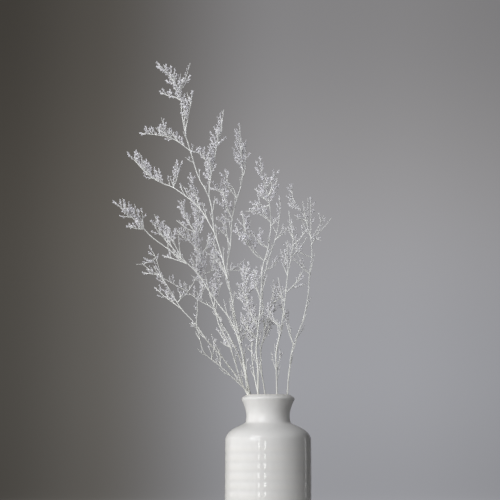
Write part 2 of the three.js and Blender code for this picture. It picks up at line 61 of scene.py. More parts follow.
# The vase's outline, beside its height and radius
NECK_RADIUS = 24.1
LIP_RADIUS = 29.8
WALL = 4.0
FLOOR = 5.0
HEEL = 4.0
RING_LOW = 12.0
RING_PITCH = 10.3
RING_COUNT = 10
RING_ROWS = 9
RING_SHARPNESS = 1.5
SHOULDER_LOW = 119.0
SHOULDER_ROUND = 131.5
SHOULDER_TOP = (33.0, 134.6)
NECK_FOOT = (26.3, 138.6)
NECK_LOW = 140.0
NECK_MIDDLE = 147.0
NECK_HIGH = 154.0
LIP_INSET = 0.6
LIP_SWELL = 0.3
LIP_ROOT_DEPTH = 5.8
LIP_EDGE_DEPTH = 4.2
LIP_BEVEL = (28.3, 167.4)
LIP_CREST_RADIUS = 23.6
CREST_OUT = 1.3
CREST_IN = 0.8
MOUTH_RADIUS = 23.6
MOUTH_DEPTH = 2.5
INNER_NECK_LOW = 136.0
INNER_NECK_FOOT = (27.0, 133.0)
INNER_SHOULDER = (39.0, 130.0)
INNER_SHOULDER_LOW = 124.0

# Where the vase's foot ends, in metres, and how far below the lip's top its glaze is thin
FOOT_LINE = 0.0018
THIN_LIP = 1.2

# Stems and branches, as on the part
SEAT_GAP = 0.3
FOOT_RADIUS = 1.25
TIP_RADIUS = 0.6
TWIG_RADIUS = 0.55
BRANCH_TAPER = 0.8
CLEAR = 0.35
LINE_TOLERANCE = 0.4
STEPS = 6
STRAIGHT_SHARE = 0.87
HIDDEN_POINTS = 3
DEPTHS = (0.3, -0.3, 0.12, -0.12, 0.5, -0.5, 0.75, -0.75)
TURNS = (0, 0.6, -0.6, 1.2, -1.2, 1.9, -1.9, 2.6, -2.6)
PART_SEED = 1000

# Twigs, as on the part
TWIG_PITCH = 36.0
TWIG_LONG = 21.0
TWIG_SHORT = 11.0
TWIG_RISE = 0.18

# Spikes of florets, as on the part
FLORET_RADIUS = 2.6
SPIKE_PITCH = 10.0
SPIKE_GROWTH = 1.25
SPIKE_ROOM = 3.6
SPIKE_OPEN = math.radians(48)
SPIKE_SPREAD = math.radians(48)
SPIKE_LIFT = 0.3
CROWN_START = 0.4
TIP_START = 1.1
TIP_GROWTH = 1.15
TIP_ROOM = 0.9
TIP_TURN = 0.4

# The finer growth that the part leaves out: short twigs, and more spikes between those of the part
FINE_SEED = 5000
FINE_PITCH = 15.0
FINE_LONG = 17.0
FINE_SHORT = 8.0
FINE_ROOM = 1.6
FINE_TURN = 1.6
FINE_BELOW = 0.12
FINE_THICKNESS = 0.45
LOW_START = 0.1
LOW_PITCH = 16.0
LOW_LONG = 28.0
LOW_OPEN = math.radians(20)
FILL_RADIUS = 1.3
FILL_ROOM = 2.5
FILL_PITCH = 3.4
FILL_END = 1.2
FILL_BEHIND = 0.08

# The heart of the bunch, a line from X, Z to X, Z in the front view, round which the finer growth is densest
HEART = np.array(((-12.0, 240.0), (-80.0, 400.0)))
HEART_RADIUS = 52.0
HEART_DENSITY = 3.2
EDGE_DENSITY = 0.6
SPARSE_DENSITY = 0.09
SPARSE_RIGHT = 5.0
SPARSE_CORNER = (-72.0, 335.0)
FULL_SPIKE = 1.2
FINE_SPIKE = 0.95
SPARSE_SPIKE = 0.72

# How far a spike sags before its tip turns up again, as a share of its length
SAG = 0.28

# The taper of a stem, the swelling at a branch's root, and the line inside a spike
STEM_TAPER = 1.2
ROOT_SWELLING = 0.35
ROOT_LENGTH = 1.5
RACHIS_RADII = (0.27, 0.13)
RACHIS_SHARES = (0.0, 1 / 3, 2 / 3, 1.0)

# Florets. A pair of values goes from a spike's root to its tip, and leans are in degrees
FLORET_KINDS = ("open", "young", "bract")
FLORET_START = 0.8
FLORET_END = 0.75
FLORET_OFFSET = 0.25
FLORET_LEANS = (20, 10)
YOUNG_SHARES = (0.05, 0.3)
GOLDEN_TURN = math.radians(137.5)
TOOTH_RADIUS = 0.78
TOOTH_DEPTH = 0.15
TWIG_BRACT = 0.75
SPIKE_BRACT = 0.5

# What the geometry trees read from a mesh's points, and the finished mesh doesn't keep
HELPER_VALUES = ("thickness", "way", "roll", "size", *FLORET_KINDS)

# The studio, in metres
COVE_RADIUS = 5.0
COVE_BEND = 0.35
COVE_HEIGHT = 4.0
COVE_WALL = 0.1
COVE_SIDES = 96
FLAG_X = (0.120, 0.121)
FLAG_Z = (0.012, 0.20)
FLAGS = {"studio_flag_front": (-0.18, 0.009), "studio_flag_back": (0.028, 0.12)}
WARM, COOL, WHITE = (1.0, 0.985, 0.96), (0.96, 0.975, 1.0), (1.0, 1.0, 1.0)

# Each light's place, width and height, the point that it looks at, its brightness setting and its colour
LIGHTS = {
    "window": ((-2.4, -1.2, 0.60), (5.4, 1.16), (0.0, -1.2, 0.60), "window", WARM),
    "room_fill": ((-2.2, -2.85, 1.9), (2.0, 2.6), (0.0, 0.0, 0.3), "fill", COOL),
    "side_fill": ((2.0, -1.1, 0.85), (1.2, 0.7), (0.0, 0.0, 0.42), "side", COOL),
    "glint_near": ((-0.35, -2.36, 0.22), (0.20, 0.32), (0.0, 0.0, 0.12), "glint", WHITE),
    "glint_far": ((-1.02, -2.17, 0.22), (0.20, 0.32), (0.0, 0.0, 0.12), "glint", WHITE),
    "edge_strip": ((2.11, 1.14, 0.20), (0.30, 0.36), (0.04, -0.02, 0.10), "edge", WHITE),
}

# The side of a branch that its spikes stand on, as a direction in the XZ plane
UP = (0.0, 1.0)
LEFT = (-1.0, 0.3)
RIGHT = (1.0, 0.3)


def branch(at, route, bare=0.3, side=UP, long=10, short=7, branches=()):
    """A branch that leaves its parent's route at the point numbered at. Its florets start after the share
    bare of its length, on spikes that go from long to short millimetres."""
    return {
        "at": at, "route": route, "bare": bare, "side": side, "long": long, "short": short,
        "branches": branches,
    }


def spray(name, foot, mouth, tip, route, bare, **rest):
    """A cut spray, with the X, Y of its foot on the vase's floor and of its place in the mouth, the Y of
    its tip, and its route of X, Z points above the rim. The rest is as for a branch."""
    return {"name": name, "foot": foot, "mouth": mouth, "tip": tip, **branch(0, route, bare, **rest)}


TWIG = branch(0, (), long=8)
LOW_TWIG = branch(0, (), bare=0.5, long=4, short=3)
FINE_TWIG = branch(0, (), bare=0.25, long=6.5, short=5)

SPRAYS = [
    spray(
        name="low", foot=(30, -24), mouth=(-20.5, -9.6), tip=-62,
        bare=0.82, side=LEFT, long=5, short=4,
        route=[(-31, 181), (-52, 200), (-70, 215), (-75, 231), (-78, 247), (-77, 260), (-77, 272)],
        branches=[
            branch(1, [(-53, 212), (-57, 224)], bare=0.6, long=5, short=4),
            branch(1.5, [(-62, 214), (-66, 222)], bare=0.5, long=4, short=4),
            branch(4, [(-81, 245), (-84, 247)], long=5, short=4),
        ],
    ),
    spray(
        name="lower_left", foot=(24, -15), mouth=(-21.7, -6.4), tip=-46,
        bare=0.66, side=LEFT, long=9, short=8,
        route=[
            (-35, 190), (-51, 211), (-68, 230), (-80, 247), (-95, 263), (-108, 284), (-117, 299),
            (-123, 318), (-130, 331),
        ],
        branches=[
            branch(4, [(-107, 272), (-117, 280), (-125, 288)]),
            branch(4.3, [(-96, 275), (-99, 285)], long=7, short=6),
            branch(6, [(-127, 301), (-138, 303)]),
            branch(7, [(-129, 313), (-135, 318)]),
        ],
    ),
    spray(
        name="left", foot=(26, -7), mouth=(-22.4, -3.2), tip=-26,
        bare=0.86, long=14, short=9,
        route=[
            (-25, 195), (-31, 224), (-41, 251), (-55, 270), (-66, 285), (-76, 301), (-89, 314),
            (-109, 329), (-128, 343), (-137, 352), (-157, 371), (-171, 383),
        ],
        branches=[
            branch(6.3, [(-103, 329), (-113, 340), (-120, 351), (-125, 368)], bare=0.4, long=13),
            branch(6.4, [(-101, 331), (-108, 342), (-113, 355)], bare=0.5),
            branch(6, [(-103, 319), (-117, 324)]),
            branch(9, [(-145, 352), (-156, 355)], bare=0.1),
            branch(9, [(-139, 365), (-140, 376)], side=LEFT),
            branch(9.6, [(-155, 365), (-164, 366)], bare=0.1),
        ],
    ),
    spray(
        name="bent", foot=(36, 0), mouth=(-22.6, 0), tip=-8,
        bare=0.68,
        route=[
            (-30, 185), (-37, 208), (-45, 230), (-54, 246), (-60, 264), (-76, 274), (-90, 284),
            (-104, 292), (-120, 301),
        ],
        branches=[
            branch(1.6, [(-43, 223), (-50, 233), (-57, 244)], bare=0.1, long=7, short=6),
            branch(4, [(-59, 279), (-64, 294)]),
            branch(5, [(-72, 287), (-76, 295)]),
        ],
    ),
    spray(
        name="tall", foot=(18, 7), mouth=(-20, 3.2), tip=12,
        bare=0.84, side=None, long=11, short=10,
        route=[
            (-26, 203), (-31, 231), (-37, 259), (-42, 287), (-55, 337), (-60, 352), (-62, 373),
            (-66, 392), (-78, 415), (-87, 444), (-93, 465), (-97, 489), (-100, 514), (-125, 546),
        ],
        branches=[
            branch(
                5, [(-76, 379), (-95, 396), (-107, 405), (-120, 411), (-134, 420), (-160, 448)],
                bare=0.6, long=15, short=9,
                branches=[
                    branch(3, [(-103, 413), (-101, 423), (-103, 435)], bare=0.3, side=LEFT),
                ],
            ),
            branch(
                7, [(-65, 409), (-61, 431), (-57, 454), (-52, 473), (-54, 491)],
                bare=0.2, side=LEFT, long=15, short=8,
                branches=[
                    branch(1.5, [(-68, 431), (-75, 440), (-86, 444)], bare=0.2),
                ],
            ),
            branch(
                9, [(-98, 453), (-109, 460), (-123, 464), (-145, 467)],
                bare=0.15, long=10, short=9,
            ),
            branch(10, [(-89, 485), (-86, 498), (-85, 510)], side=LEFT, long=9, short=7),
            branch(11.5, [(-105, 506), (-113, 508), (-122, 513)], bare=0.1, long=8, short=7),
            branch(12, [(-97, 520), (-95, 527)], bare=0.1, long=5, short=5),
            branch(12.4, [(-106, 531), (-105, 539)], bare=0.1, long=5, short=5),
        ],
    ),
    spray(
        name="middle", foot=(28, 16), mouth=(-21.7, 6.4), tip=46,
        bare=0.84, side=LEFT, long=12, short=8,
        route=[
            (-26, 197), (-30, 225), (-37, 247), (-40, 275), (-46, 309), (-42, 339), (-40, 370),
            (-35, 392), (-29, 414), (-30, 443), (-32, 481),
        ],
        branches=[
            branch(1, [(-27, 236), (-22, 246), (-20, 256)], bare=0.2, long=6, short=5),
            branch(2, [(-31, 242), (-28, 251)], long=7, short=6),
            branch(4, [(-40, 311), (-33, 311), (-28, 313)], bare=0.2, long=8, short=7),
            branch(4, [(-55, 318), (-62, 326), (-70, 330)]),
            branch(5, [(-46, 351), (-47, 368), (-47, 382)], side=LEFT, long=8, short=7),
            branch(
                6, [(-45, 378), (-51, 384), (-59, 387)],
                branches=[
                    branch(1, [(-47, 388), (-49, 398), (-56, 402), (-65, 406)], long=12),
                ],
            ),
            branch(7, [(-39, 405), (-45, 411), (-47, 425)], bare=0.4, side=LEFT),
            branch(8, [(-26, 426), (-25, 440), (-26, 454)], side=LEFT, long=8, short=7),
        ],
    ),
    spray(
        name="inner", foot=(22, 21), mouth=(-19.5, 9.8), tip=76,
        bare=0.52, side=LEFT, long=12, short=7,
        route=[
            (-27, 202), (-35, 220), (-45, 240), (-56, 260), (-64, 281), (-71, 309), (-76, 331),
            (-79, 356), (-79, 380), (-83, 405), (-89, 428),
        ],
        branches=[
            branch(4, [(-59, 292), (-55, 307), (-52, 318)], long=12),
            branch(
                4.4, [(-76, 303), (-82, 318), (-87, 328)],
                bare=0.1, side=LEFT, long=9, short=6,
            ),
            branch(5, [(-65, 311), (-61, 324), (-62, 339)], side=RIGHT, long=12),
            branch(6, [(-84, 341), (-91, 348)]),
            branch(6, [(-69, 342), (-67, 356)], side=RIGHT),
            branch(6.5, [(-87, 347), (-95, 350), (-105, 360)]),
            branch(7, [(-86, 362), (-91, 373), (-95, 384), (-95, 396)], side=LEFT),
        ],
    ),
    spray(
        name="centre", foot=(2, -30), mouth=(-11, -13), tip=-34,
        bare=0.8, side=None, long=13, short=7,
        route=[
            (-11, 195), (-13, 220), (-11, 242), (-8, 275), (-6, 309), (0, 331), (3, 359), (0, 387),
            (-6, 407), (-9, 431),
        ],
        branches=[
            branch(
                -1, [(-15, 190), (-18, 215), (-18, 240), (-17, 262), (-18, 280)],
                bare=0.5, side=None, long=7, short=5,
            ),
            branch(1.5, [(-19, 236), (-26, 247), (-29, 259)]),
            branch(
                2, [(-20, 262), (-25, 281), (-25, 303), (-21, 318)],
                bare=0.2, side=None, long=9,
                branches=[
                    branch(1.3, [(-29, 286), (-35, 291)]),
                    branch(2, [(-18, 294), (-16, 309)], side=RIGHT),
                ],
            ),
            branch(
                4.3, [(-14, 323), (-23, 334), (-31, 342), (-35, 356)],
                branches=[
                    branch(2, [(-26, 347), (-27, 360), (-28, 372)], side=RIGHT),
                ],
            ),
            branch(3, [(-12, 285), (-14, 297), (-13, 309)], side=LEFT, long=8, short=6),
            branch(5, [(-7, 334), (-12, 340), (-16, 348)], bare=0.15),
            branch(6, [(-7, 366), (-18, 369)], bare=0.15),
            branch(6.6, [(-3, 375), (-11, 378), (-20, 373)], bare=0.15),
            branch(7, [(4, 398), (2, 407)], side=RIGHT),
            branch(6.8, [(-7, 387), (-10, 396)]),
        ],
    ),
    spray(
        name="right_centre", foot=(-16, 31), mouth=(-3.5, 12.8), tip=26,
        bare=0.86, side=LEFT, long=8, short=7,
        route=[
            (-7, 195), (-8, 220), (-4, 242), (-6, 275), (-4, 303), (2, 326), (8, 344), (12, 362),
            (14, 381), (13, 395),
        ],
        branches=[
            branch(1.4, [(-1, 240), (2, 252), (3, 263)], bare=0.2, side=RIGHT, long=6, short=5),
            branch(2, [(2, 266), (6, 283), (6, 298)], side=RIGHT),
            branch(4.3, [(4, 313), (9, 318), (9, 326)]),
            branch(6, [(15, 353), (17, 362)], side=RIGHT, long=7, short=6),
        ],
    ),
    spray(
        name="short_right", foot=(-4, -36), mouth=(9.5, -13), tip=-62,
        bare=0.78, long=7, short=6,
        route=[(9, 195), (9, 217), (14, 242), (18, 270), (21, 298), (25, 318), (27, 337), (25, 358)],
        branches=[
            branch(0, [(11, 203), (13, 212), (13, 220)], long=5, short=4),
            branch(1.3, [(13, 236), (12, 248)], long=6, short=5),
            branch(2, [(3, 253), (0, 270)]),
            branch(3, [(11, 279), (7, 287)]),
            branch(3.3, [(27, 287), (33, 294), (35, 303)], side=RIGHT),
            branch(4, [(17, 309), (19, 318), (18, 326)]),
            branch(5, [(30, 324), (32, 332)], side=RIGHT),
            branch(6, [(22, 346), (16, 350)], long=7, short=6),
        ],
    ),
    spray(
        name="right", foot=(-6, 36), mouth=(21.2, 0), tip=48,
        bare=0.86, side=RIGHT, long=8, short=7,
        route=[
            (23, 192), (27, 220), (32, 235), (39, 253), (45, 281), (47, 307), (50, 326), (49, 348),
            (49, 370), (49, 396),
        ],
        branches=[
            branch(1.3, [(23, 242), (18, 262), (12, 273)], bare=0.5, long=8, short=6),
            branch(5, [(39, 313), (32, 321), (26, 321), (18, 320)], long=10),
            branch(6, [(40, 330), (33, 336), (18, 342)]),
            branch(6.6, [(54, 347), (60, 345)], long=7, short=6),
            branch(
                7, [(46, 360), (41, 376), (35, 386), (29, 396), (28, 413)],
                side=LEFT,
                branches=[
                    branch(1.5, [(39, 371), (32, 370)]),
                    branch(1, [(42, 376), (42, 385)], side=RIGHT),
                ],
            ),
            branch(7, [(56, 358), (60, 367), (57, 376)], side=RIGHT, long=7, short=6),
        ],
    ),
]


# Growth


def seeded(seed):
    """A repeatable row of numbers from 0 to 1."""
    state, factor, shift, span = seed, 1664525, 1013904223, 4294967296

    def draw():
        nonlocal state
        state = (state * factor + shift) % span
        return state / span

    return draw


def mix(a, b, share):
    return a + (b - a) * share


def between(draw, low, high):
    return mix(low, high, draw())


def unit(vector):
    return vector / math.sqrt(vector @ vector)


def point(x, y, z):
    return np.array((x, y, z), float)


def bend(a, b, c, before, after):
    """The direction of a smooth curve at b, on its way from a to c."""
    return (b - a) / before - (c - a) / (before + after) + (c - b) / after


def curve_points(points):
    """A smooth curve through the points, with STEPS parts between each two, evenly paced as a stem bends."""
    guides = [2 * points[0] - points[1], *points, 2 * points[-1] - points[-2]]
    line = [points[0]]
    for before, start, end, after in zip(guides, guides[1:], guides[2:], guides[3:]):
        spans = (start - before, end - start, after - end)
        gaps = [math.sqrt(math.sqrt(span @ span)) for span in spans]
        leave = bend(before, start, end, gaps[0], gaps[1]) * gaps[1]
        arrive = bend(start, end, after, gaps[1], gaps[2]) * gaps[1]
        for step in range(1, STEPS + 1):
            t = step / STEPS
            line.append(
                start + leave * t + (3 * (end - start) - 2 * leave - arrive) * t * t
                + (2 * (start - end) + leave + arrive) * t * t * t
            )
    return line


class Path:
    """A smooth line with its length, the rod that stands for it on the part, and its radii and bare share."""

    def __init__(self, points, radii, spec, offset=0):
        self.line = curve_points(points)
        self.curve = np.array(self.line)
        steps = [0.0, *(math.sqrt((q - p) @ (q - p)) for p, q in zip(self.line, self.line[1:]))]
        self.reach = list(np.cumsum(steps))
        self.length = self.reach[-1]
        self.radii, self.spec, self.offset = radii, spec, offset
        self.free = 0.0
        self.bloom = self.length * spec["bare"]
        self.nodes = self.thin()

    def thin(self):
        """The fewest points that keep near the line, each with a radius. The others move onto the rod."""
        line, reach = self.line, self.reach
        kept, start = [0], 0
        while start < len(line) - 1:
            end = start + 1
            while end < len(line) - 1 and self.is_straight(start, end + 1):
                end += 1
            for i in range(start + 1, end):
                share = (reach[i] - reach[start]) / (reach[end] - reach[start])
                line[i] = mix(line[start], line[end], share)
            kept.append(end)
            start = end
        return [(line[i], mix(*self.radii, reach[i] / self.length)) for i in kept]

    def is_straight(self, start, end):
        a, chord = self.line[start], self.line[end] - self.line[start]
        for p in self.line[start + 1:end]:
            share = min(max((p - a) @ chord / (chord @ chord), 0), 1)
            off = a + chord * share - p
            if math.sqrt(off @ off) >= LINE_TOLERANCE:
                return False
        return True

    def along(self, distance):
        """The rod's point at a distance along the line, its direction, and the curve's point there."""
        i = 1
        while i < len(self.line) - 1 and self.reach[i] < distance:
            i += 1
        share = (distance - self.reach[i - 1]) / (self.reach[i] - self.reach[i - 1])
        a, b = self.line[i - 1], self.line[i]
        return mix(a, b, share), unit(b - a), mix(self.curve[i - 1], self.curve[i], share)


class Rods:
    """The rods of all the sprays, so that what grows later keeps clear of the other sprays."""

    def __init__(self):
        self.rows, self.packed = [], None

    def add(self, name, nodes):
        self.rows += [(a, b, max(ra, rb), name) for (a, ra), (b, rb) in zip(nodes, nodes[1:])]
        self.packed = None

    def is_clear(self, name, nodes):
        self.packed = self.packed or [np.array(column) for column in zip(*self.rows)]
        start, end, radius, owner = self.packed
        others = owner != name
        if not others.any():
            return True
        start, end, radius = start[others], end[others], radius[others]
        for (a, ra), (b, rb) in zip(nodes, nodes[1:]):
            if (apart(a, b, start, end) < max(ra, rb) + CLEAR + radius).any():
                return False
        return True


def apart(a, b, starts, ends):
    """The shortest distances between the line a to b and each line of starts to ends."""
    u, v, w = b - a, ends - starts, a - starts
    uu, uv, vv = u @ u, v @ u, (v * v).sum(1)
    uw, vw = w @ u, (v * w).sum(1)
    slant = uu * vv - uv * uv
    near = np.where(slant > 1e-9, slant, 1.0)
    s = np.where(slant > 1e-9, np.clip((uv * vw - vv * uw) / near, 0, 1), 0.0)
    t = np.clip((uv * s + vw) / vv, 0, 1)
    s = np.clip((uv * t - uw) / uu, 0, 1)
    gap = w + s[:, None] * u - t[:, None] * v
    return np.sqrt((gap * gap).sum(1))


def grow_stem(spec):
    (foot_x, foot_y), (mouth_x, mouth_y) = spec["foot"], spec["mouth"]
    rim = point(mouth_x, mouth_y, VASE_HEIGHT)
    foot = point(foot_x, foot_y, FLOOR + SEAT_GAP)
    foot[2] += FOOT_RADIUS * math.hypot(mouth_x - foot_x, mouth_y - foot_y) / VASE_HEIGHT
    points = [foot, mix(foot, rim, STRAIGHT_SHARE), rim]
    rise = spec["route"][-1][1] - VASE_HEIGHT
    for x, z in spec["route"]:
        points.append(point(x, mix(mouth_y, spec["tip"], (z - VASE_HEIGHT) / rise), z))
    path = Path(points, (FOOT_RADIUS, TIP_RADIUS), spec, offset=HIDDEN_POINTS)
    path.free = path.reach[(HIDDEN_POINTS - 1) * STEPS]
    path.bloom = path.free + (path.length - path.free) * spec["bare"]
    return path


def grow_branch(name, parent, spec, turn, rods):
    i = math.floor((spec["at"] + parent.offset) * STEPS + 0.5)
    start = parent.line[i]
    radius = max(TWIG_RADIUS, BRANCH_TAPER * mix(*parent.radii, parent.reach[i] / parent.length))
    route = spec["route"]
    span = math.hypot(route[-1][0] - start[0], route[-1][1] - start[2])
    for share in DEPTHS:
        depth = share * turn * span
        points = [point(x, start[1] + depth * (n + 1) / len(route), z) for n, (x, z) in enumerate(route)]
        path = Path([start, *points], (radius, TWIG_RADIUS), spec)
        if rods.is_clear(name, path.nodes):
            path.seat = parent.curve[i]
            return path
    raise RuntimeError(f"a branch of spray {name} at {spec['at']} has no clear route")


def open_from(direction, side, opening, turn):
    """A direction that opens from a branch, turned about it from the side that its spikes stand on."""
    toward = point(side[0], 0, side[1]) if side else point(0, 1, 0)
    out = unit(toward - direction * (toward @ direction))
    across = np.cross(direction, out)
    return (
        direction * math.cos(opening) + out * (math.sin(opening) * math.cos(turn))
        + across * (math.sin(opening) * math.sin(turn))
    )


def grow_twig(place, way, length, radius, spec):
    """A twig from a place of its parent, which rises a little towards its end."""
    root, direction, seat = place
    middle, end = root + way * (0.5 * length), root + way * length
    end[2] += TWIG_RISE * length
    path = Path([root, middle, end], (radius, radius), spec)
    path.seat = seat
    return path


def grow_twigs(name, parent, draw, rods):
    twigs = []
    room = parent.length - parent.bloom
    count = math.floor(room / TWIG_PITCH)
    for i in range(count):
        distance = parent.bloom + room * (i + between(draw, 0.3, 0.6)) / (count + 0.5)
        length = mix(TWIG_LONG, TWIG_SHORT, i / count) * between(draw, 0.8, 1.2)
        turn = (1 if i % 2 else -1) * between(draw, 1.1, 2)
        opening = SPIKE_OPEN * between(draw, 0.9, 1.2)
        place = parent.along(distance)
        for more in TURNS:
            way = open_from(place[1], parent.spec["side"], opening, turn + more)
            path = grow_twig(place, way, length, TWIG_RADIUS, TWIG)
            if rods.is_clear(name, path.nodes):
                path.bloom = TWIG["bare"] * length
                twigs.append(path)
                break
    return twigs


class Spike:
    """A side spike, with the point of the stem that it stands on, the way that it goes and its length."""

    def __init__(self, root, seat, way, length, radius):
        self.seat, self.way, self.length, self.radius = seat, way, length, radius
        self.lift = point(0, 0, 1) - way * way[2]
        end = root + way * length
        self.nodes = [(root, radius), (end, radius)]
        self.crown = (mix(root, end, CROWN_START), end)

    def place(self, share):
        """The point at a share of the spike's length."""
        return self.seat + self.length * (self.way * share + self.lift * (SAG * (share * share - share)))

    def tangent(self, share):
        return unit(self.way + self.lift * (SAG * (2 * share - 1)))


def add_spike(name, spikes, rods, room, place, side, length, opening, turn, radius=FLORET_RADIUS):
    """Adds the first spike that has room for its crown and is clear of the other sprays."""
    starts = np.array([spike.crown[0] for spike in spikes]).reshape(-1, 3)
    ends = np.array([spike.crown[1] for spike in spikes]).reshape(-1, 3)
    root, direction, seat = place
    for more in TURNS:
        way = open_from(direction, side, opening, turn + more)
        if opening > 0:
            way = unit(way + point(0, 0, SPIKE_LIFT))
        spike = Spike(root, seat, way, length, radius)
        if (apart(*spike.crown, starts, ends) > room).all() and rods.is_clear(name, spike.nodes):
            spikes.append(spike)
            return True
    return False


def spike_plan(parent):
    """Where the spikes of a branch stand: their side, how far they turn from it, and their lengths."""
    side = parent.spec["side"]
    return side, SPIKE_SPREAD if side else math.pi, parent.spec["long"], parent.spec["short"]


def grow_spikes(name, parent, draw, spikes, rods):
    """A spike ends each branch. More stand left and right of it by turns, and shorten to its tip."""
    side, spread, long, short = spike_plan(parent)
    tip = parent.along(max(parent.length - TIP_START * short, 0))
    if not add_spike(name, spikes, rods, SPIKE_ROOM, tip, side, TIP_GROWTH * short, 0, 0):
        add_spike(name, spikes, rods, SPIKE_ROOM, tip, side, short, TIP_TURN, 0)
    distance, i = parent.bloom, 0
    while distance < parent.length - TIP_ROOM * short:
        share = (distance - parent.bloom) / (parent.length - parent.bloom)
        length = SPIKE_GROWTH * mix(long, short, share) * between(draw, 0.8, 1.2)
        turn = (1 if i % 2 else -1) * spread * between(draw, 0.15, 1)
        opening = SPIKE_OPEN * between(draw, 0.75, 1.2)
        add_spike(name, spikes, rods, SPIKE_ROOM, parent.along(distance), side, length, opening, turn)
        distance += SPIKE_PITCH * between(draw, 0.8, 1.2)
        i += 1


def grow_sprays():
    """Grows all the sprays one order at a time, so that each finer piece finds the coarser ones in place."""
    rods = Rods()
    plants = []
    for i, spec in enumerate(SPRAYS):
        stem, draw = grow_stem(spec), seeded(PART_SEED + i)
        plants.append({"name": spec["name"], "draw": draw, "paths": [stem], "spikes": []})
        rods.add(spec["name"], stem.nodes)
    for plant, spec in zip(plants, SPRAYS):
        turn = 1

        def grow(parent, specs):
            nonlocal turn
            for given in specs:
                path = grow_branch(plant["name"], parent, given, turn, rods)
                turn = -turn
                plant["paths"].append(path)
                rods.add(plant["name"], path.nodes)
                grow(path, given["branches"])

        grow(plant["paths"][0], spec["branches"])
    for plant in plants:
        for parent in list(plant["paths"]):
            for twig in grow_twigs(plant["name"], parent, plant["draw"], rods):
                plant["paths"].append(twig)
                rods.add(plant["name"], twig.nodes)
    for plant in plants:
        for parent in plant["paths"]:
            grow_spikes(plant["name"], parent, plant["draw"], plant["spikes"], rods)
        for spike in plant["spikes"]:
            rods.add(plant["name"], spike.nodes)
    return plants, rods


def is_sparse(place):
    """Whether a place is on the right or low on the left, where the bunch is thin."""
    return place[0] > SPARSE_RIGHT or (place[0] < SPARSE_CORNER[0] and place[2] < SPARSE_CORNER[1])


def density_at(place):
    """How densely the finer growth stands at a place."""
    start, line = HEART[0], HEART[1] - HEART[0]
    offset = place[[0, 2]] - start
    off = offset - line * min(max(offset @ line / (line @ line), 0), 1)
    far = min(math.sqrt(off @ off) / HEART_RADIUS, 1)
    edge = SPARSE_DENSITY if is_sparse(place) else EDGE_DENSITY
    return mix(HEART_DENSITY, edge, far * far * (3 - 2 * far))


def grow_fine_twigs(name, parent, draw, rods):
    """Short twigs in front of a stem or branch and behind it. Those below its florets are few and small."""
    twigs = []
    side = parent.spec["side"]
    distance, i = parent.free + LOW_START * (parent.bloom - parent.free), 0
    while distance < parent.length - FINE_ROOM * FINE_SHORT:
        is_low = distance < parent.bloom - FINE_BELOW * parent.length
        long, opening, spec = (LOW_LONG, LOW_OPEN, LOW_TWIG) if is_low else (FINE_LONG, SPIKE_OPEN, FINE_TWIG)
        length = mix(long, FINE_SHORT, distance / parent.length) * between(draw, 0.7, 1.2)
        turn = (1 if i % 2 else -1) * between(draw, 0.3, FINE_TURN if side else math.pi)
        place = parent.along(distance)
        way = open_from(place[1], side, opening * between(draw, 0.7, 1.1), turn)
        path = grow_twig(place, way, length, FINE_THICKNESS, spec)
        if rods.is_clear(name, path.nodes):
            twigs.append(path)
        if is_low:
            distance += LOW_PITCH * between(draw, 0.6, 1.4)
        else:
            distance += FINE_PITCH * between(draw, 0.7, 1.3) / density_at(path.seat)
        i += 1
    return twigs


def grow_fill(name, parent, draw, spikes, rods):
    """Spikes that stand between the part's own, most of them on the same side of the branch."""
    side, spread, long, short = spike_plan(parent)
    distance, i = parent.bloom + 0.5 * FILL_PITCH, 0
    while distance < parent.length - FILL_END * short:
        share = (distance - parent.bloom) / (parent.length - parent.bloom)
        length = SPIKE_GROWTH * mix(long, short, share) * between(draw, 0.6, 1.1)
        turn = (1 if i % 2 else -1) * spread * draw() + (math.pi if draw() < FILL_BEHIND else 0)
        opening = SPIKE_OPEN * between(draw, 0.7, 1.1)
        place = parent.along(distance)
        add_spike(name, spikes, rods, FILL_ROOM, place, side, length, opening, turn, FILL_RADIUS)
        distance += FILL_PITCH * between(draw, 0.7, 1.3) / math.sqrt(density_at(place[2]))
        i += 1


@functools.cache
def bunch():
    """The grown sprays with their finer growth, worked out once."""
    plants, rods = grow_sprays()
    for i, plant in enumerate(plants):
        draw = seeded(FINE_SEED + i)
        for parent in list(plant["paths"]):
            plant["paths"] += grow_fine_twigs(plant["name"], parent, draw, rods)
        for parent in plant["paths"]:
            grow_fill(plant["name"], parent, draw, plant["spikes"], rods)
        for spike in plant["spikes"]:
            rods.add(plant["name"], spike.nodes)
    return plants


# Node trees


class Graph:
    """A node tree in the making. An input is set to a value, or linked if another node's output is given."""

    def __init__(self, tree):
        self.tree = tree

    def node(self, kind, inputs=None, **settings):
        made = self.tree.nodes.new(kind)
        for name, value in settings.items():
            setattr(made, name, value)
        for key, value in (inputs or {}).items():
            if isinstance(value, bpy.types.NodeSocket):
                self.tree.links.new(value, made.inputs[key])
            else:
                made.inputs[key].default_value = value
        return made


def new_group(name, tree_kind, inputs, outputs):
    """A node group with named inputs and outputs, each given as its kind and perhaps its default."""
    tree = bpy.data.node_groups.new(name, tree_kind)
    for in_out, sockets in (("INPUT", inputs), ("OUTPUT", outputs)):
        for socket, (kind, *default) in sockets.items():
            made = tree.interface.new_socket(socket, in_out=in_out, socket_type=f"NodeSocket{kind}")
            if default:
                made.default_value = default[0]
    graph = Graph(tree)
    return graph, graph.node("NodeGroupInput").outputs


def new_geometry(name, inputs):
    sockets = {"Geometry": ["Geometry"], **inputs, "Finish": ["Material"]}
    return new_group(name, "GeometryNodeTree", sockets, {"Geometry": ["Geometry"]})


def named(graph, name, kind="FLOAT"):
    """A named attribute's value, in a geometry tree."""
    return graph.node("GeometryNodeInputNamedAttribute", {"Name": name}, data_type=kind).outputs["Attribute"]


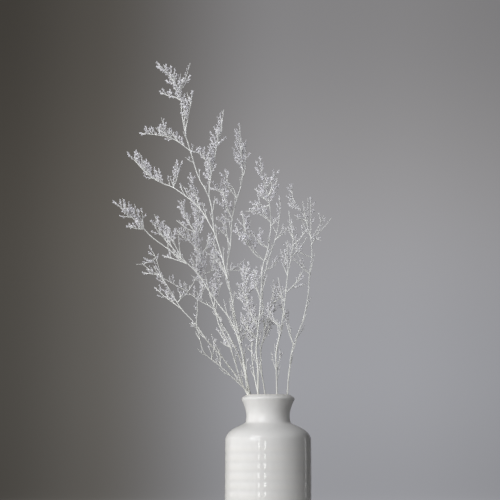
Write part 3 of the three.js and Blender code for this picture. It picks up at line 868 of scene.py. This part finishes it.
def realized(graph, geometry, finish):
    """Ends a geometry tree with real faces and their material."""
    plain = graph.node("GeometryNodeRealizeInstances", {"Geometry": geometry})
    painted = graph.node("GeometryNodeSetMaterial", {"Geometry": plain.outputs[0], "Material": finish})
    graph.node("NodeGroupOutput", {"Geometry": painted.outputs[0]})
    return graph.tree


def stem_tree():
    """Sweeps a round section along every line of a mesh, as thick as the line's points say."""
    graph, given = new_geometry("Round stems", {"Sides": ["Int", 8]})
    lines = graph.node("GeometryNodeMeshToCurve", {"Mesh": given["Geometry"]})
    section = graph.node("GeometryNodeCurvePrimitiveCircle", {"Resolution": given["Sides"], "Radius": 1.0})
    swept = graph.node("GeometryNodeCurveToMesh", {
        "Curve": lines.outputs[0], "Profile Curve": section.outputs[0],
        "Scale": named(graph, "thickness"), "Fill Caps": True,
    })
    smooth = graph.node("GeometryNodeSetShadeSmooth", {"Geometry": swept.outputs[0]})
    return realized(graph, smooth.outputs[0], given["Finish"])


def floret_tree():
    """Stands one of three small shapes at each point, turned and sized as the point says."""
    shapes = {kind: f"Shape {kind}" for kind in FLORET_KINDS}
    graph, given = new_geometry("Rows of florets", {
        **{socket: ["Object"] for socket in shapes.values()},
        "Floret length": ["Float", 0.0036], "Shade seed": ["Int", 1],
    })
    aimed = graph.node("FunctionNodeAlignRotationToVector", {
        "Vector": named(graph, "way", "FLOAT_VECTOR"),
    }, axis="Z")
    roll = graph.node("FunctionNodeAxisAngleToRotation", {
        "Axis": (0.0, 0.0, 1.0), "Angle": named(graph, "roll"),
    })
    turned = graph.node("FunctionNodeRotateRotation", {
        "Rotation": aimed.outputs[0], "Rotate By": roll.outputs[0],
    }, rotation_space="LOCAL")
    size = graph.node("ShaderNodeMath", {
        0: given["Floret length"], 1: named(graph, "size"),
    }, operation="MULTIPLY")
    together = graph.node("GeometryNodeJoinGeometry")
    for kind, socket in shapes.items():
        shape = graph.node("GeometryNodeObjectInfo", {"Object": given[socket], "As Instance": True})
        stood = graph.node("GeometryNodeInstanceOnPoints", {
            "Points": given["Geometry"], "Selection": named(graph, kind, "BOOLEAN"),
            "Instance": shape.outputs["Geometry"], "Rotation": turned.outputs[0], "Scale": size.outputs[0],
        })
        graph.tree.links.new(stood.outputs[0], together.inputs[0])
    shade = graph.node("FunctionNodeRandomValue", {"Seed": given["Shade seed"]}, data_type="FLOAT")
    shaded = graph.node("GeometryNodeStoreNamedAttribute", {
        "Geometry": together.outputs[0], "Name": "shade", "Value": shade.outputs[1],
    }, data_type="FLOAT", domain="INSTANCE")
    return realized(graph, shaded.outputs[0], given["Finish"])


def grow_piece(name, mesh, tree, values, node):
    """Runs a geometry tree on a mesh, with values by input name, and seats the plain mesh that it gives."""
    piece = add_object(name, mesh)
    modifier = piece.modifiers.new(tree.name, "NODES")
    modifier.node_group = tree
    for item in tree.interface.items_tree:
        if item.in_out == "INPUT" and item.name in values:
            modifier[item.identifier] = values[item.name]
    bpy.context.view_layer.update()
    view = bpy.context.evaluated_depsgraph_get()
    mesh = bpy.data.meshes.new_from_object(piece.evaluated_get(view))
    piece.modifiers.remove(modifier)
    piece.data = mesh
    for helper in HELPER_VALUES:
        if helper in mesh.attributes:
            mesh.attributes.remove(mesh.attributes[helper])
    seat(piece, node, "statice")


# Materials


def rgba(color):
    return color if isinstance(color, bpy.types.NodeSocket) else (*color[:3], 1.0)


def blend_colors(graph, share, low, high, kind="MIX"):
    return graph.node("ShaderNodeMix", {
        0: share, 6: rgba(low), 7: rgba(high),
    }, data_type="RGBA", blend_type=kind).outputs[2]


def multiplied(graph, color, tint):
    return blend_colors(graph, 1.0, color, tint, "MULTIPLY")


def ramp(graph, value, start, end, low=0.0, high=1.0, kind="LINEAR"):
    """A value that goes from low to high while another goes from start to end."""
    return graph.node("ShaderNodeMapRange", {
        0: value, 1: start, 2: end, 3: low, 4: high,
    }, clamp=True, interpolation_type=kind).outputs[0]


def scaled(graph, vector, factors):
    return graph.node("ShaderNodeVectorMath", {0: vector, 1: factors}, operation="MULTIPLY").outputs[0]


def mottle_group():
    """Soft patches between two colours, with a height for a bump."""
    graph, given = new_group("Mottle", "ShaderNodeTree", {
        "Vector": ["Vector"], "Scale": ["Float", 50.0], "Detail": ["Float", 3.0], "Contrast": ["Float", 1.0],
        "Light": ["Color"], "Dark": ["Color"],
    }, {"Color": ["Color"], "Height": ["Float"]})
    noise = graph.node("ShaderNodeTexNoise", {name: given[name] for name in ("Vector", "Scale", "Detail")})
    centred = graph.node("ShaderNodeMath", {0: noise.outputs["Fac"], 1: 0.5}, operation="SUBTRACT")
    spread = graph.node("ShaderNodeMath", {
        0: centred.outputs[0], 1: given["Contrast"], 2: 0.5,
    }, operation="MULTIPLY_ADD", use_clamp=True)
    color = blend_colors(graph, spread.outputs[0], given["Dark"], given["Light"])
    graph.node("NodeGroupOutput", {"Color": color, "Height": noise.outputs["Fac"]})
    return graph.tree


def mottle(graph, place, scale, light, dark, detail=3.0):
    """The mottle group in a material. Its outputs are Color and Height."""
    return graph.node("ShaderNodeGroup", {
        "Vector": place, "Scale": scale, "Detail": detail, "Contrast": 1.5,
        "Light": rgba(light), "Dark": rgba(dark),
    }, node_tree=bpy.data.node_groups.get("Mottle") or mottle_group()).outputs


def darker(color, share):
    return [share * value for value in color]


def new_material(name):
    """A node material with only its output, and its Object coordinates."""
    material = bpy.data.materials.new(name)
    material.use_nodes = True
    material.node_tree.nodes.clear()
    graph = Graph(material.node_tree)
    return material, graph, graph.node("ShaderNodeTexCoord").outputs["Object"]


def surface(graph, inputs, height=None, depth=1.0):
    """Ends a material with its shader, and a bump of a depth in metres where a height is given."""
    if height is not None:
        inputs["Normal"] = graph.node("ShaderNodeBump", {
            "Height": height, "Distance": depth, "Strength": 1.0,
        }).outputs[0]
    shader = graph.node("ShaderNodeBsdfPrincipled", inputs)
    graph.node("ShaderNodeOutputMaterial", {"Surface": shader.outputs[0]})


def attribute(graph, name):
    return graph.node("ShaderNodeAttribute", attribute_name=name).outputs["Fac"]


def glaze_material(settings):
    """Gloss off-white glaze, a little warmer where it runs thin over the rings, the lip and the heel."""
    material, graph, place = new_material("Off-white gloss glaze")
    patches = mottle(graph, place, 32.0, settings.glaze, darker(settings.glaze, 0.955))
    color = blend_colors(graph, attribute(graph, "thin"), patches["Color"], settings.thin_glaze)
    ripple = mottle(graph, place, 190.0, (1, 1, 1), (0, 0, 0), detail=1.0)
    surface(graph, {
        "Base Color": color, "Roughness": 0.5, "Specular IOR Level": 0.2,
        "Coat Weight": 0.5, "Coat Roughness": 0.03,
    }, ripple["Height"], 0.00003)
    return material


def clay_material(settings):
    """Dry unglazed stoneware of the foot."""
    material, graph, place = new_material("Unglazed stoneware")
    grit = mottle(graph, place, 900.0, settings.clay, darker(settings.clay, 0.72))
    surface(graph, {"Base Color": grit["Color"], "Roughness": 0.85}, grit["Height"], 0.0002)
    return material


def stem_material(settings):
    """Bleached dry stems, a little greener at the mouth of the vase, with a fine grain along them."""
    material, graph, place = new_material("Dry straw stem")
    height = graph.node("ShaderNodeSeparateXYZ", {0: place}).outputs["Z"]
    tone = blend_colors(graph, ramp(graph, height, 0.15, 0.33), settings.low_stem, settings.high_stem)
    along = scaled(graph, place, (1.0, 1.0, 0.08))
    grain = mottle(graph, along, 1400.0, (1, 1, 1), (0.88, 0.875, 0.86), detail=2.0)
    color = multiplied(graph, tone, grain["Color"])
    surface(graph, {"Base Color": color, "Roughness": 0.62}, grain["Height"], 0.0001)
    return material


def floret_material(settings):
    """Papery florets: straw at the base of the cup, pale lavender along it and nearly white at its rim."""
    material, graph, place = new_material("Papery floret")
    rim = attribute(graph, "rim")
    cup = blend_colors(graph, attribute(graph, "shade"), settings.cup, settings.cup_shade)
    body = blend_colors(graph, ramp(graph, rim, 0.0, 0.45), settings.base, cup)
    whole = blend_colors(graph, ramp(graph, rim, 0.55, 1.0), body, settings.rim)
    paper = mottle(graph, place, 700.0, (1, 1, 1), (0.90, 0.89, 0.90), detail=2.0)
    surface(graph, {
        "Base Color": multiplied(graph, whole, paper["Color"]), "Roughness": 0.75, "Sheen Weight": 0.12,
        "Subsurface Weight": 0.25, "Subsurface Radius": (1.0, 0.97, 0.95), "Subsurface Scale": 0.002,
    }, paper["Height"], 0.00015)
    return material


def cove_material(settings):
    """A plain pale floor that runs up into a near-black wall with a painted grey glow, which stands in for
    the room's light on the wall: darker and warmer on the left, brighter on the right.
    """
    material, graph, place = new_material("Studio cove")
    smooth = functools.partial(ramp, graph, kind="SMOOTHSTEP")
    axes = graph.node("ShaderNodeSeparateXYZ", {0: place}).outputs
    # Painted light: the wall's glow is darker and warmer on the left, brighter on the right and warmer higher
    # up. It is fainter high up, low down and far to the right.
    dim = smooth(axes["X"], settings.shade_from, settings.shade_to)
    bright = smooth(axes["X"], settings.light_from, settings.light_to)
    shaded = blend_colors(graph, dim, settings.glow_left, settings.glow_middle)
    wall = blend_colors(graph, bright, shaded, settings.glow_right)
    tint = blend_colors(graph, smooth(axes["Z"], 0.35, 1.3), (1.0, 1.0, 1.0), settings.glow_tint)
    wall = multiplied(graph, wall, tint)
    flat = scaled(graph, place, (1.0, 1.0, 0.0))
    reach = graph.node("ShaderNodeVectorMath", {0: flat}, operation="LENGTH").outputs["Value"]
    # The glow starts some way out from the vase, where the base colour turns near black, so the wall shows
    # only its painted light.
    glow = far = smooth(reach, 1.3, 2.6)
    for falloff in (
        smooth(axes["Z"], 0.7, 1.75, 1.0, settings.glow_top),
        smooth(axes["Z"], -0.1, 0.45, settings.glow_foot, 1.0),
        smooth(axes["X"], 0.45, 0.95, 1.0, settings.glow_end),
    ):
        glow = graph.node("ShaderNodeMath", {0: glow, 1: falloff}, operation="MULTIPLY").outputs[0]
    floor = mottle(graph, place, 6.0, settings.floor, darker(settings.floor, 0.97))
    surface(graph, {
        "Base Color": blend_colors(graph, far, floor["Color"], (0.02, 0.02, 0.02)), "Roughness": 0.9,
        "Emission Color": blend_colors(graph, glow, (0.0, 0.0, 0.0), wall), "Emission Strength": 1.0,
    })
    return material


def flag_material():
    """Black cloth that takes the light off the vase's right side."""
    material, graph, place = new_material("Black flag")
    cloth = mottle(graph, place, 300.0, (0.02, 0.02, 0.02), (0.01, 0.01, 0.01))
    surface(graph, {"Base Color": cloth["Color"]})
    return material


# Meshes


def add_object(name, data):
    made = bpy.data.objects.new(name, data)
    bpy.context.scene.collection.objects.link(made)
    return made


def new_mesh(name, points, edges=(), faces=()):
    mesh = bpy.data.meshes.new(name)
    mesh.from_pydata(points, edges, faces)
    return mesh


def set_values(mesh, name, values, kind="FLOAT"):
    """Gives each point of a mesh a value, or for vectors three values."""
    field = "vector" if kind == "FLOAT_VECTOR" else "value"
    mesh.attributes.new(name, kind, "POINT").data.foreach_set(field, values)


def seat(piece, node, slot):
    """Puts a finished piece in the frame, in place of one of the part's nodes."""
    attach(piece, "root")
    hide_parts(node)


def round_faces(rows, sides):
    """The faces of a closed round body: one point, rows of as many points as it has sides, and one point."""
    faces = [(0, 1 + (j + 1) % sides, 1 + j) for j in range(sides)]
    for row in range(rows - 1):
        low, high = 1 + row * sides, 1 + (row + 1) * sides
        faces += [(low + j, low + (j + 1) % sides, high + (j + 1) % sides, high + j) for j in range(sides)]
    last, top = 1 + (rows - 1) * sides, 1 + rows * sides
    return faces + [(last + j, last + (j + 1) % sides, top) for j in range(sides)]


def lathe(name, outline, sides, waver=lambda angle, height: 0.0):
    """A closed round body from an outline of radius and height, up its outside and down its inside."""
    points = [(0.0, 0.0, outline[0][1])]
    for radius, height in outline[1:-1]:
        for j in range(sides):
            angle = 2 * math.pi * j / sides
            reach = radius + waver(angle, height)
            points.append((reach * math.cos(angle), reach * math.sin(angle), height))
    points.append((0.0, 0.0, outline[-1][1]))
    mesh = new_mesh(name, points, faces=round_faces(len(outline) - 2, sides))
    mesh.polygons.foreach_set("use_smooth", [True] * len(mesh.polygons))
    return mesh


def bezier(start, *pulls, steps=10):
    """Points of a curve after its start, with one or two pulls and an end."""
    knots = [np.array(knot, float) for knot in (start, *pulls)]
    order = len(knots) - 1
    found = []
    for step in range(1, steps + 1):
        t = step / steps
        found.append(tuple(sum(
            math.comb(order, k) * (1 - t) ** (order - k) * t ** k * knot for k, knot in enumerate(knots)
        )))
    return found


def vase_outline(ring_depth):
    """The vase's outline in millimetres: foot, ringed body, shoulder, neck and lip, then down its inside."""
    body, neck, lip, top = BODY_RADIUS, NECK_RADIUS, LIP_RADIUS, VASE_HEIGHT
    foot = (body - HEEL - 1, 0)
    outline = [(0, 0), (0.5 * (body - HEEL), 0), foot]
    outline += bezier(foot, (body, 0), (body, HEEL + 1), steps=8)
    rows, ring_top = RING_ROWS * RING_COUNT, RING_LOW + RING_COUNT * RING_PITCH
    for row in range(rows + 1):
        z = mix(RING_LOW - RING_PITCH / 2, ring_top, row / rows)
        groove = 0.5 + 0.5 * math.cos(2 * math.pi * (z - RING_LOW) / RING_PITCH)
        outline.append((body - ring_depth * groove ** RING_SHARPNESS, z))
    outline += bezier((body, SHOULDER_LOW), (body, SHOULDER_ROUND), SHOULDER_TOP, NECK_FOOT, steps=18)
    outline += bezier(NECK_FOOT, (neck, NECK_LOW), (neck, NECK_MIDDLE), steps=8)
    lip_root, crest = (lip - LIP_INSET, top - LIP_ROOT_DEPTH), (LIP_CREST_RADIUS, top)
    outline += bezier((neck, NECK_MIDDLE), (neck, NECK_HIGH), lip_root, steps=10)
    outline += bezier(lip_root, (lip + LIP_SWELL, top - LIP_EDGE_DEPTH), LIP_BEVEL, steps=8)
    outline += bezier(LIP_BEVEL, (LIP_CREST_RADIUS + CREST_OUT, top), crest, steps=6)
    inside, inner_neck = body - WALL, neck - WALL
    mouth = (MOUTH_RADIUS, top - MOUTH_DEPTH)
    outline += bezier(crest, (LIP_CREST_RADIUS - CREST_IN, top), mouth, steps=6)
    outline += bezier(mouth, (inner_neck, NECK_HIGH + WALL), (inner_neck, NECK_HIGH), steps=6)
    outline += bezier((inner_neck, NECK_LOW), (inner_neck + 0.5, INNER_NECK_LOW), INNER_NECK_FOOT, steps=5)
    outline += bezier(
        INNER_NECK_FOOT, INNER_SHOULDER, (inside, INNER_SHOULDER_LOW), (inside, SHOULDER_LOW - WALL), steps=8,
    )
    outline += bezier((inside, FLOOR + HEEL), (inside, FLOOR), (inside - HEEL, FLOOR), steps=5)
    return [*outline, (0, FLOOR)]


def throwing_waver(angle, height):
    """How far the hand-thrown wall strays from round, in metres."""
    return 0.00014 * math.sin(2 * angle + 25 * height) + 0.00008 * math.sin(3 * angle - 60 * height + 1)


def thin_glaze_at(radius, height, ring_depth):
    """How thin the glaze runs, from 0 to 1: over the crests of the rings, at the heel and round the lip."""
    if height > VASE_HEIGHT - THIN_LIP:
        return 0.8
    if height < HEEL:
        return 0.5
    if height < SHOULDER_LOW and radius > BODY_RADIUS - ring_depth - 0.01:
        return 0.3 * ((radius - BODY_RADIUS + ring_depth) / ring_depth) ** 3
    return 0.0


def make_vase(settings):
    depth = settings.ring_depth / MM
    outline = vase_outline(depth)
    mesh = lathe("vase_body", [(r * MM, z * MM) for r, z in outline], settings.sides, throwing_waver)
    mesh.materials.append(glaze_material(settings))
    mesh.materials.append(clay_material(settings))
    thin = [0.0]
    for radius, height in outline[1:-1]:
        thin += [thin_glaze_at(radius, height, depth)] * settings.sides
    set_values(mesh, "thin", [*thin, 0.0])
    bare = [all(mesh.vertices[v].co.z < FOOT_LINE for v in face.vertices) for face in mesh.polygons]
    mesh.polygons.foreach_set("material_index", [int(value) for value in bare])
    seat(add_object("glazed_vase", mesh), "vase", "glaze")


def line_mesh(name, lines):
    """A mesh of bare lines in metres, from lists of points and radii in millimetres."""
    points, edges, thickness = [], [], []
    for line in lines:
        first = len(points)
        points += [tuple(MM * v for v in place) for place, radius in line]
        thickness += [MM * radius for place, radius in line]
        edges += [(first + i, first + i + 1) for i in range(len(line) - 1)]
    mesh = new_mesh(name, points, edges)
    set_values(mesh, "thickness", thickness)
    return mesh


def stem_line(path, settings):
    """A stem, branch or twig, slimmer than its rod. A branch or twig swells a little at its root."""
    rod_radius = path.radii[0]
    thick = rod_radius * (settings.foot_radius / MM / FOOT_RADIUS)
    slim = settings.tip_radius / MM * min(1, rod_radius / TWIG_RADIUS)
    line = []
    for place, reach in zip(path.curve, path.reach):
        swelling = 1 + ROOT_SWELLING * math.exp(-reach / ROOT_LENGTH) if path.offset == 0 else 1
        line.append((place, mix(thick, slim, (reach / path.length) ** STEM_TAPER) * swelling))
    if path.offset == 0:
        line[0] = (path.seat, line[0][1])
    return line


def rachis(spike):
    """The slim line of a side spike."""
    return [(spike.place(share), mix(*RACHIS_RADII, share)) for share in RACHIS_SHARES]


def spike_florets(spike, draw, settings):
    """The florets of a spike, close against it and on all its sides by turns, smaller at its ends."""
    across = unit(np.cross(spike.way, point(0, 1, 0.01)))
    inward = np.cross(spike.way, across)
    fullness = FULL_SPIKE if spike.radius == FLORET_RADIUS else FINE_SPIKE
    fullness *= SPARSE_SPIKE if is_sparse(spike.seat) else 1
    pitch, length = fullness * settings.pitch / MM, fullness * settings.length / MM
    made = []
    turn = 2 * math.pi * draw()
    distance = FLORET_START
    while distance < spike.length - FLORET_END * length:
        share = distance / spike.length
        out = across * math.cos(turn) + inward * math.sin(turn)
        lean = math.radians(mix(*FLORET_LEANS, share) * between(draw, 0.8, 1.2))
        way = spike.tangent(share) * math.cos(lean) + out * math.sin(lean)
        full = fullness * min(1.0, 0.6 + 0.13 * distance)
        size = full * mix(1.0, 0.85, share) * between(draw, 0.85, 1.1)
        kind = 1 if draw() < mix(*YOUNG_SHARES, share) else 0
        made.append((spike.place(share) + out * FLORET_OFFSET, way, 2 * math.pi * draw(), size, kind))
        distance += pitch * between(draw, 0.85, 1.15)
        turn += GOLDEN_TURN + between(draw, -0.2, 0.2)
    share = 1 - FLORET_END * length / spike.length
    made.append((spike.place(max(share, 0)), spike.tangent(1), 2 * math.pi * draw(), 0.9 * fullness, 1))
    return made


def bracts(plant, draw):
    """A small scale at the root of each branch, twig and spike."""
    roots = [(path.seat, unit(path.curve[1] - path.seat), TWIG_BRACT) for path in plant["paths"][1:]]
    roots += [(spike.seat, spike.way, SPIKE_BRACT) for spike in plant["spikes"]]
    return [(place, way, 2 * math.pi * draw(), size, 2) for place, way, size in roots]


def cup_mesh(name, rings, sides, hollow):
    """A small closed cup round Z of unit length, from rings of height, radius and rim value. A hollow one
    has a toothed rim, and its inside goes down to the given height."""
    points, rims = [(0.0, 0.0, 0.0)], [0.0]
    for n, (height, radius, rim) in enumerate(rings):
        for j in range(sides):
            tooth = n == len(rings) - 1 and hollow and j % 2
            reach, z = (TOOTH_RADIUS * radius, height - TOOTH_DEPTH) if tooth else (radius, height)
            angle = 2 * math.pi * j / sides
            points.append((reach * math.cos(angle), reach * math.sin(angle), z))
            rims.append(rim)
    points.append((0.0, 0.0, hollow or 1.0))
    rims.append(0.55 if hollow else 1.0)
    mesh = new_mesh(name, points, faces=round_faces(len(rings), sides))
    set_values(mesh, "rim", rims)
    return mesh


def floret_shapes(settings):
    """The open floret, the young floret and the scale, as helper objects."""
    width = settings.width / settings.length / 2
    return {
        "open": cup_mesh("open", [(0.5, 0.4 * width, 0.35), (1.0, width, 1.0)], 10, hollow=0.6),
        "young": cup_mesh("young", [(0.3, 0.38 * width, 0.3), (0.75, 0.46 * width, 0.8)], 6, hollow=0),
        "bract": cup_mesh("bract", [(0.4, 0.3 * width, 0.1)], 4, hollow=0),
    }


def point_mesh(name, florets):
    """A mesh of loose points in metres, which carry where each floret looks, its roll, size and kind."""
    places, ways, rolls, sizes, kinds = zip(*florets)
    mesh = new_mesh(name, [tuple(MM * place) for place in places])
    set_values(mesh, "way", [v for way in ways for v in way], "FLOAT_VECTOR")
    set_values(mesh, "roll", rolls)
    set_values(mesh, "size", sizes)
    for n, kind in enumerate(FLORET_KINDS):
        set_values(mesh, kind, [chosen == n for chosen in kinds], "BOOLEAN")
    return mesh


# Studio


def make_cove(settings):
    """A floor that bends up into a round wall, far enough off to stand behind every view."""
    inner, outer = COVE_RADIUS - COVE_BEND, COVE_RADIUS + COVE_WALL
    outline = [(0, 0), (1, 0), (2.5, 0), (inner, 0)]
    outline += bezier((inner, 0), (COVE_RADIUS, 0), (COVE_RADIUS, COVE_BEND), steps=8)
    outline += [(COVE_RADIUS, COVE_HEIGHT), (outer, COVE_HEIGHT), (outer, -COVE_WALL), (0, -COVE_WALL)]
    mesh = lathe("cove", outline, COVE_SIDES)
    mesh.flip_normals()
    mesh.materials.append(cove_material(settings))
    add_object("studio_cove", mesh)


def aimed_object(name, data, place, aim):
    """An object that looks from its place at a point."""
    made = add_object(name, data)
    made.location = place
    made.rotation_euler = (Vector(aim) - made.location).to_track_quat("-Z", "Y").to_euler()
    return made


def add_panel(name, place, size, aim, radiance, color):
    """A rectangular light that the camera doesn't see, as bright as its radiance from every side it faces."""
    light = bpy.data.lights.new(name, "AREA")
    light.shape = "RECTANGLE"
    light.size, light.size_y = size
    light.energy = radiance * math.pi * size[0] * size[1]
    light.color = color
    aimed_object(name, light, place, aim).visible_camera = False


def add_flag(name, near, far, finish):
    """A low black board by the vase's right side, from near to far along Y, that shows in the glaze alone."""
    corners = [(x, y, z) for x in FLAG_X for y in (near, far) for z in FLAG_Z]
    faces = [(0, 1, 3, 2), (4, 6, 7, 5), (0, 4, 5, 1), (2, 3, 7, 6), (0, 2, 6, 4), (1, 5, 7, 3)]
    mesh = new_mesh(name, corners, faces=faces)
    mesh.materials.append(finish)
    board = add_object(name, mesh)
    board.visible_camera = board.visible_shadow = False


def add_camera(settings):
    data = bpy.data.cameras.new("camera")
    data.lens, data.sensor_width, data.clip_end = settings.lens, 36.0, 60.0
    place = (settings.aim[0], -settings.distance, settings.eye_height)
    bpy.context.scene.camera = aimed_object("camera", data, place, settings.aim)


def make_stage(settings):
    make_cove(settings)
    for name, (place, size, aim, brightness, color) in LIGHTS.items():
        add_panel(name, place, size, aim, getattr(settings, brightness), color)
    finish = flag_material()
    for name, (near, far) in FLAGS.items():
        add_flag(name, near, far, finish)
    scene = bpy.context.scene
    scene.world = scene.world or bpy.data.worlds.new("studio")
    scene.world.use_nodes = True
    sky = scene.world.node_tree.nodes["Background"].inputs
    sky["Color"].default_value = (*settings.sky, 1.0)
    sky["Strength"].default_value = 1.0
    scene.view_settings.view_transform = "Standard"
    add_camera(settings)


# Settings


def color_setting(name, description, default):
    return FloatVectorProperty(
        name=name, description=description, default=default, size=3, subtype="COLOR", min=0.0, max=1.0,
    )


def length_setting(name, description, default, **limits):
    return FloatProperty(
        name=name, description=description, default=default, unit="LENGTH", precision=5, **limits,
    )


def amount_setting(name, description, default, least=0.0):
    return FloatProperty(name=name, description=description, default=default, min=least)


def count_setting(name, description, default, least):
    return IntProperty(name=name, description=description, default=default, min=least)


class VaseSettings(bpy.types.PropertyGroup):
    """Finish of the bottle vase, whose height and radius come from the part."""

    ring_depth: length_setting("Ring depth", "Depth of the grooves between the rings", 0.00016, min=0.0)
    sides: count_setting("Sides", "Flat sides in each turn of the vase", 144, 24)
    glaze: color_setting("Glaze", "Colour of the glaze", (0.83, 0.82, 0.80))
    thin_glaze: color_setting("Thin glaze", "Colour of the glaze where it runs thin", (0.85, 0.83, 0.78))
    clay: color_setting("Clay", "Colour of the unglazed foot", (0.46, 0.38, 0.30))


class StemSettings(bpy.types.PropertyGroup):
    """Thickness and colours of the stems."""

    foot_radius: length_setting("Foot radius", "Radius of a stem at its cut end", 0.00112, min=0.0002)
    tip_radius: length_setting("Tip radius", "Radius of a stem or branch at its tip", 0.00034, min=0.0001)
    sides: count_setting("Sides", "Sides of a stem's round section", 7, 3)
    low_stem: color_setting("Low stem", "Colour of the stems at the mouth of the vase", (0.93, 0.93, 0.88))
    high_stem: color_setting("High stem", "Colour of the stems among the florets", (0.95, 0.96, 0.94))


class FloretSettings(bpy.types.PropertyGroup):
    """Size and colours of the florets."""

    length: length_setting("Length", "Length of a full-grown floret", 0.0034, min=0.001)
    width: length_setting("Width", "Width of a floret across its open rim", 0.0024, min=0.0005)
    pitch: length_setting("Pitch", "From one floret of a spike to the next", 0.0014, min=0.0005)
    seed: count_setting("Seed", "Seed of the florets' turns, sizes and shades", 7, 0)
    base: color_setting("Base", "Colour of a floret where it stands on its stem", (0.80, 0.78, 0.74))
    cup: color_setting("Cup", "Colour of a floret along its cup", (0.91, 0.905, 0.95))
    cup_shade: color_setting("Shaded cup", "The darkest colour that a cup has", (0.74, 0.72, 0.78))
    rim: color_setting("Rim", "Colour of a floret's papery rim", (0.95, 0.955, 0.98))


class StudioSettings(bpy.types.PropertyGroup):
    """Light, wall and camera."""

    window: amount_setting("Window", "Brightness of the window light", 1.5)
    fill: amount_setting("Fill", "Brightness of the light from the room", 6.1)
    side: amount_setting("Side", "Brightness of the light on the bunch's right", 0.2)
    glint: amount_setting("Glint", "Brightness of the two small lamps in front", 10.0)
    edge: amount_setting("Edge", "Brightness of the slim light behind on the right", 2.0)
    sky: color_setting("Sky", "Light from above", (0.095, 0.095, 0.1))
    # The wall's glow settings: painted light in place of the room's light falling on the wall
    glow_left: color_setting("Wall on the left", "Glow of the wall on the left", (0.061, 0.056, 0.048))
    glow_middle: color_setting("Wall in the middle", "Glow left of the bunch", (0.115, 0.108, 0.098))
    glow_right: color_setting("Wall on the right", "Glow of the wall on the right", (0.330, 0.333, 0.356))
    glow_tint: color_setting("Wall tint", "What the wall's upper half is tinted by", (1.0, 0.97, 0.93))
    glow_top: amount_setting("Wall top", "Share of the glow that is left high on the wall", 0.66)
    glow_foot: amount_setting("Wall foot", "Share of the glow that is left low on the wall", 0.88)
    glow_end: amount_setting("Wall end", "Share of the glow that is left far right on the wall", 0.88)
    shade_from: length_setting("Shade from", "Where the wall's left colour ends, along X", -0.9)
    shade_to: length_setting("Shade to", "Where its middle colour is reached, along X", -0.45)
    light_from: length_setting("Light from", "Where its middle colour ends, along X", -0.56)
    light_to: length_setting("Light to", "Where its right colour is reached, along X", 0.12)
    floor: color_setting("Floor", "Colour of the floor", (0.62, 0.62, 0.61))
    lens: amount_setting("Lens", "Focal length of the camera in millimetres", 156.0, least=10.0)
    distance: length_setting("Distance", "From the camera to the vase's axis", 2.4, min=0.5)
    eye_height: length_setting("Eye height", "Height of the camera above the floor", 0.085)
    aim: FloatVectorProperty(
        name="Aim", description="Point that the camera looks at", default=(-0.020, 0.0, 0.331), size=3,
        subtype="TRANSLATION", unit="LENGTH",
    )


# Operators


class STATICE_OT_make_vase(bpy.types.Operator):
    """Turns the glazed bottle vase with its throwing rings"""

    bl_idname = "statice.make_vase"
    bl_label = "Make Vase"

    def execute(self, context):
        make_vase(context.scene.statice_vase)
        return {"FINISHED"}


class STATICE_OT_make_stems(bpy.types.Operator):
    """Draws out the stems, branches and twigs of every spray"""

    bl_idname = "statice.make_stems"
    bl_label = "Make Stems"

    def execute(self, context):
        settings = context.scene.statice_stems
        values = {"Sides": settings.sides, "Finish": stem_material(settings)}
        tree = stem_tree()
        for plant in bunch():
            name = f"stems_{plant['name']}"
            lines = [stem_line(path, settings) for path in plant["paths"]]
            lines += [rachis(spike) for spike in plant["spikes"]]
            grow_piece(name, line_mesh(name, lines), tree, values, f"spray_{plant['name']}")
        return {"FINISHED"}


class STATICE_OT_make_florets(bpy.types.Operator):
    """Stands the florets in rows on the side spikes of every spray"""

    bl_idname = "statice.make_florets"
    bl_label = "Make Florets"

    def execute(self, context):
        settings = context.scene.statice_florets
        values = {"Floret length": settings.length, "Shade seed": settings.seed}
        values["Finish"] = floret_material(settings)
        shapes = {kind: add_object(mesh.name, mesh) for kind, mesh in floret_shapes(settings).items()}
        values |= {f"Shape {kind}": shape for kind, shape in shapes.items()}
        tree = floret_tree()
        for i, plant in enumerate(bunch()):
            draw = seeded(settings.seed * 100 + i)
            florets = bracts(plant, draw)
            for spike in plant["spikes"]:
                florets += spike_florets(spike, draw, settings)
            name = f"florets_{plant['name']}"
            grow_piece(name, point_mesh(name, florets), tree, values, f"spray_{plant['name']}")
        for shape in shapes.values():
            bpy.data.objects.remove(shape)
        return {"FINISHED"}


class STATICE_OT_make_stage(bpy.types.Operator):
    """Sets up the cove, the lights and the camera"""

    bl_idname = "statice.make_stage"
    bl_label = "Make Stage"

    def execute(self, context):
        make_stage(context.scene.statice_studio)
        return {"FINISHED"}


class STATICE_PT_panel(bpy.types.Panel):
    """Lists the pieces of the dried statice with their settings"""

    bl_idname = "STATICE_PT_panel"
    bl_label = "Dried Statice"
    bl_space_type = "VIEW_3D"
    bl_region_type = "UI"
    bl_category = "Statice"

    def draw(self, context):
        for operator, settings, group in STEPS_IN_ORDER:
            box = self.layout.box()
            for name in group.__annotations__:
                box.prop(getattr(context.scene, settings), name)
            box.operator(operator.bl_idname)


# Each operator, with the name that its settings have on the scene and their group
STEPS_IN_ORDER = (
    (STATICE_OT_make_vase, "statice_vase", VaseSettings),
    (STATICE_OT_make_stems, "statice_stems", StemSettings),
    (STATICE_OT_make_florets, "statice_florets", FloretSettings),
    (STATICE_OT_make_stage, "statice_studio", StudioSettings),
)
OPERATORS, PLACES, GROUPS = zip(*STEPS_IN_ORDER)
CLASSES = (*GROUPS, *OPERATORS, STATICE_PT_panel)


def register():
    for item in CLASSES:
        bpy.utils.register_class(item)
    for name, group in zip(PLACES, GROUPS):
        setattr(bpy.types.Scene, name, PointerProperty(type=group))


def unregister():
    for name in PLACES:
        delattr(bpy.types.Scene, name)
    for item in reversed(CLASSES):
        bpy.utils.unregister_class(item)


def main():
    register()
    bpy.ops.statice.make_vase()
    bpy.ops.statice.make_stems()
    bpy.ops.statice.make_florets()
    bpy.ops.statice.make_stage()


if __name__ == "__main__":
    main()
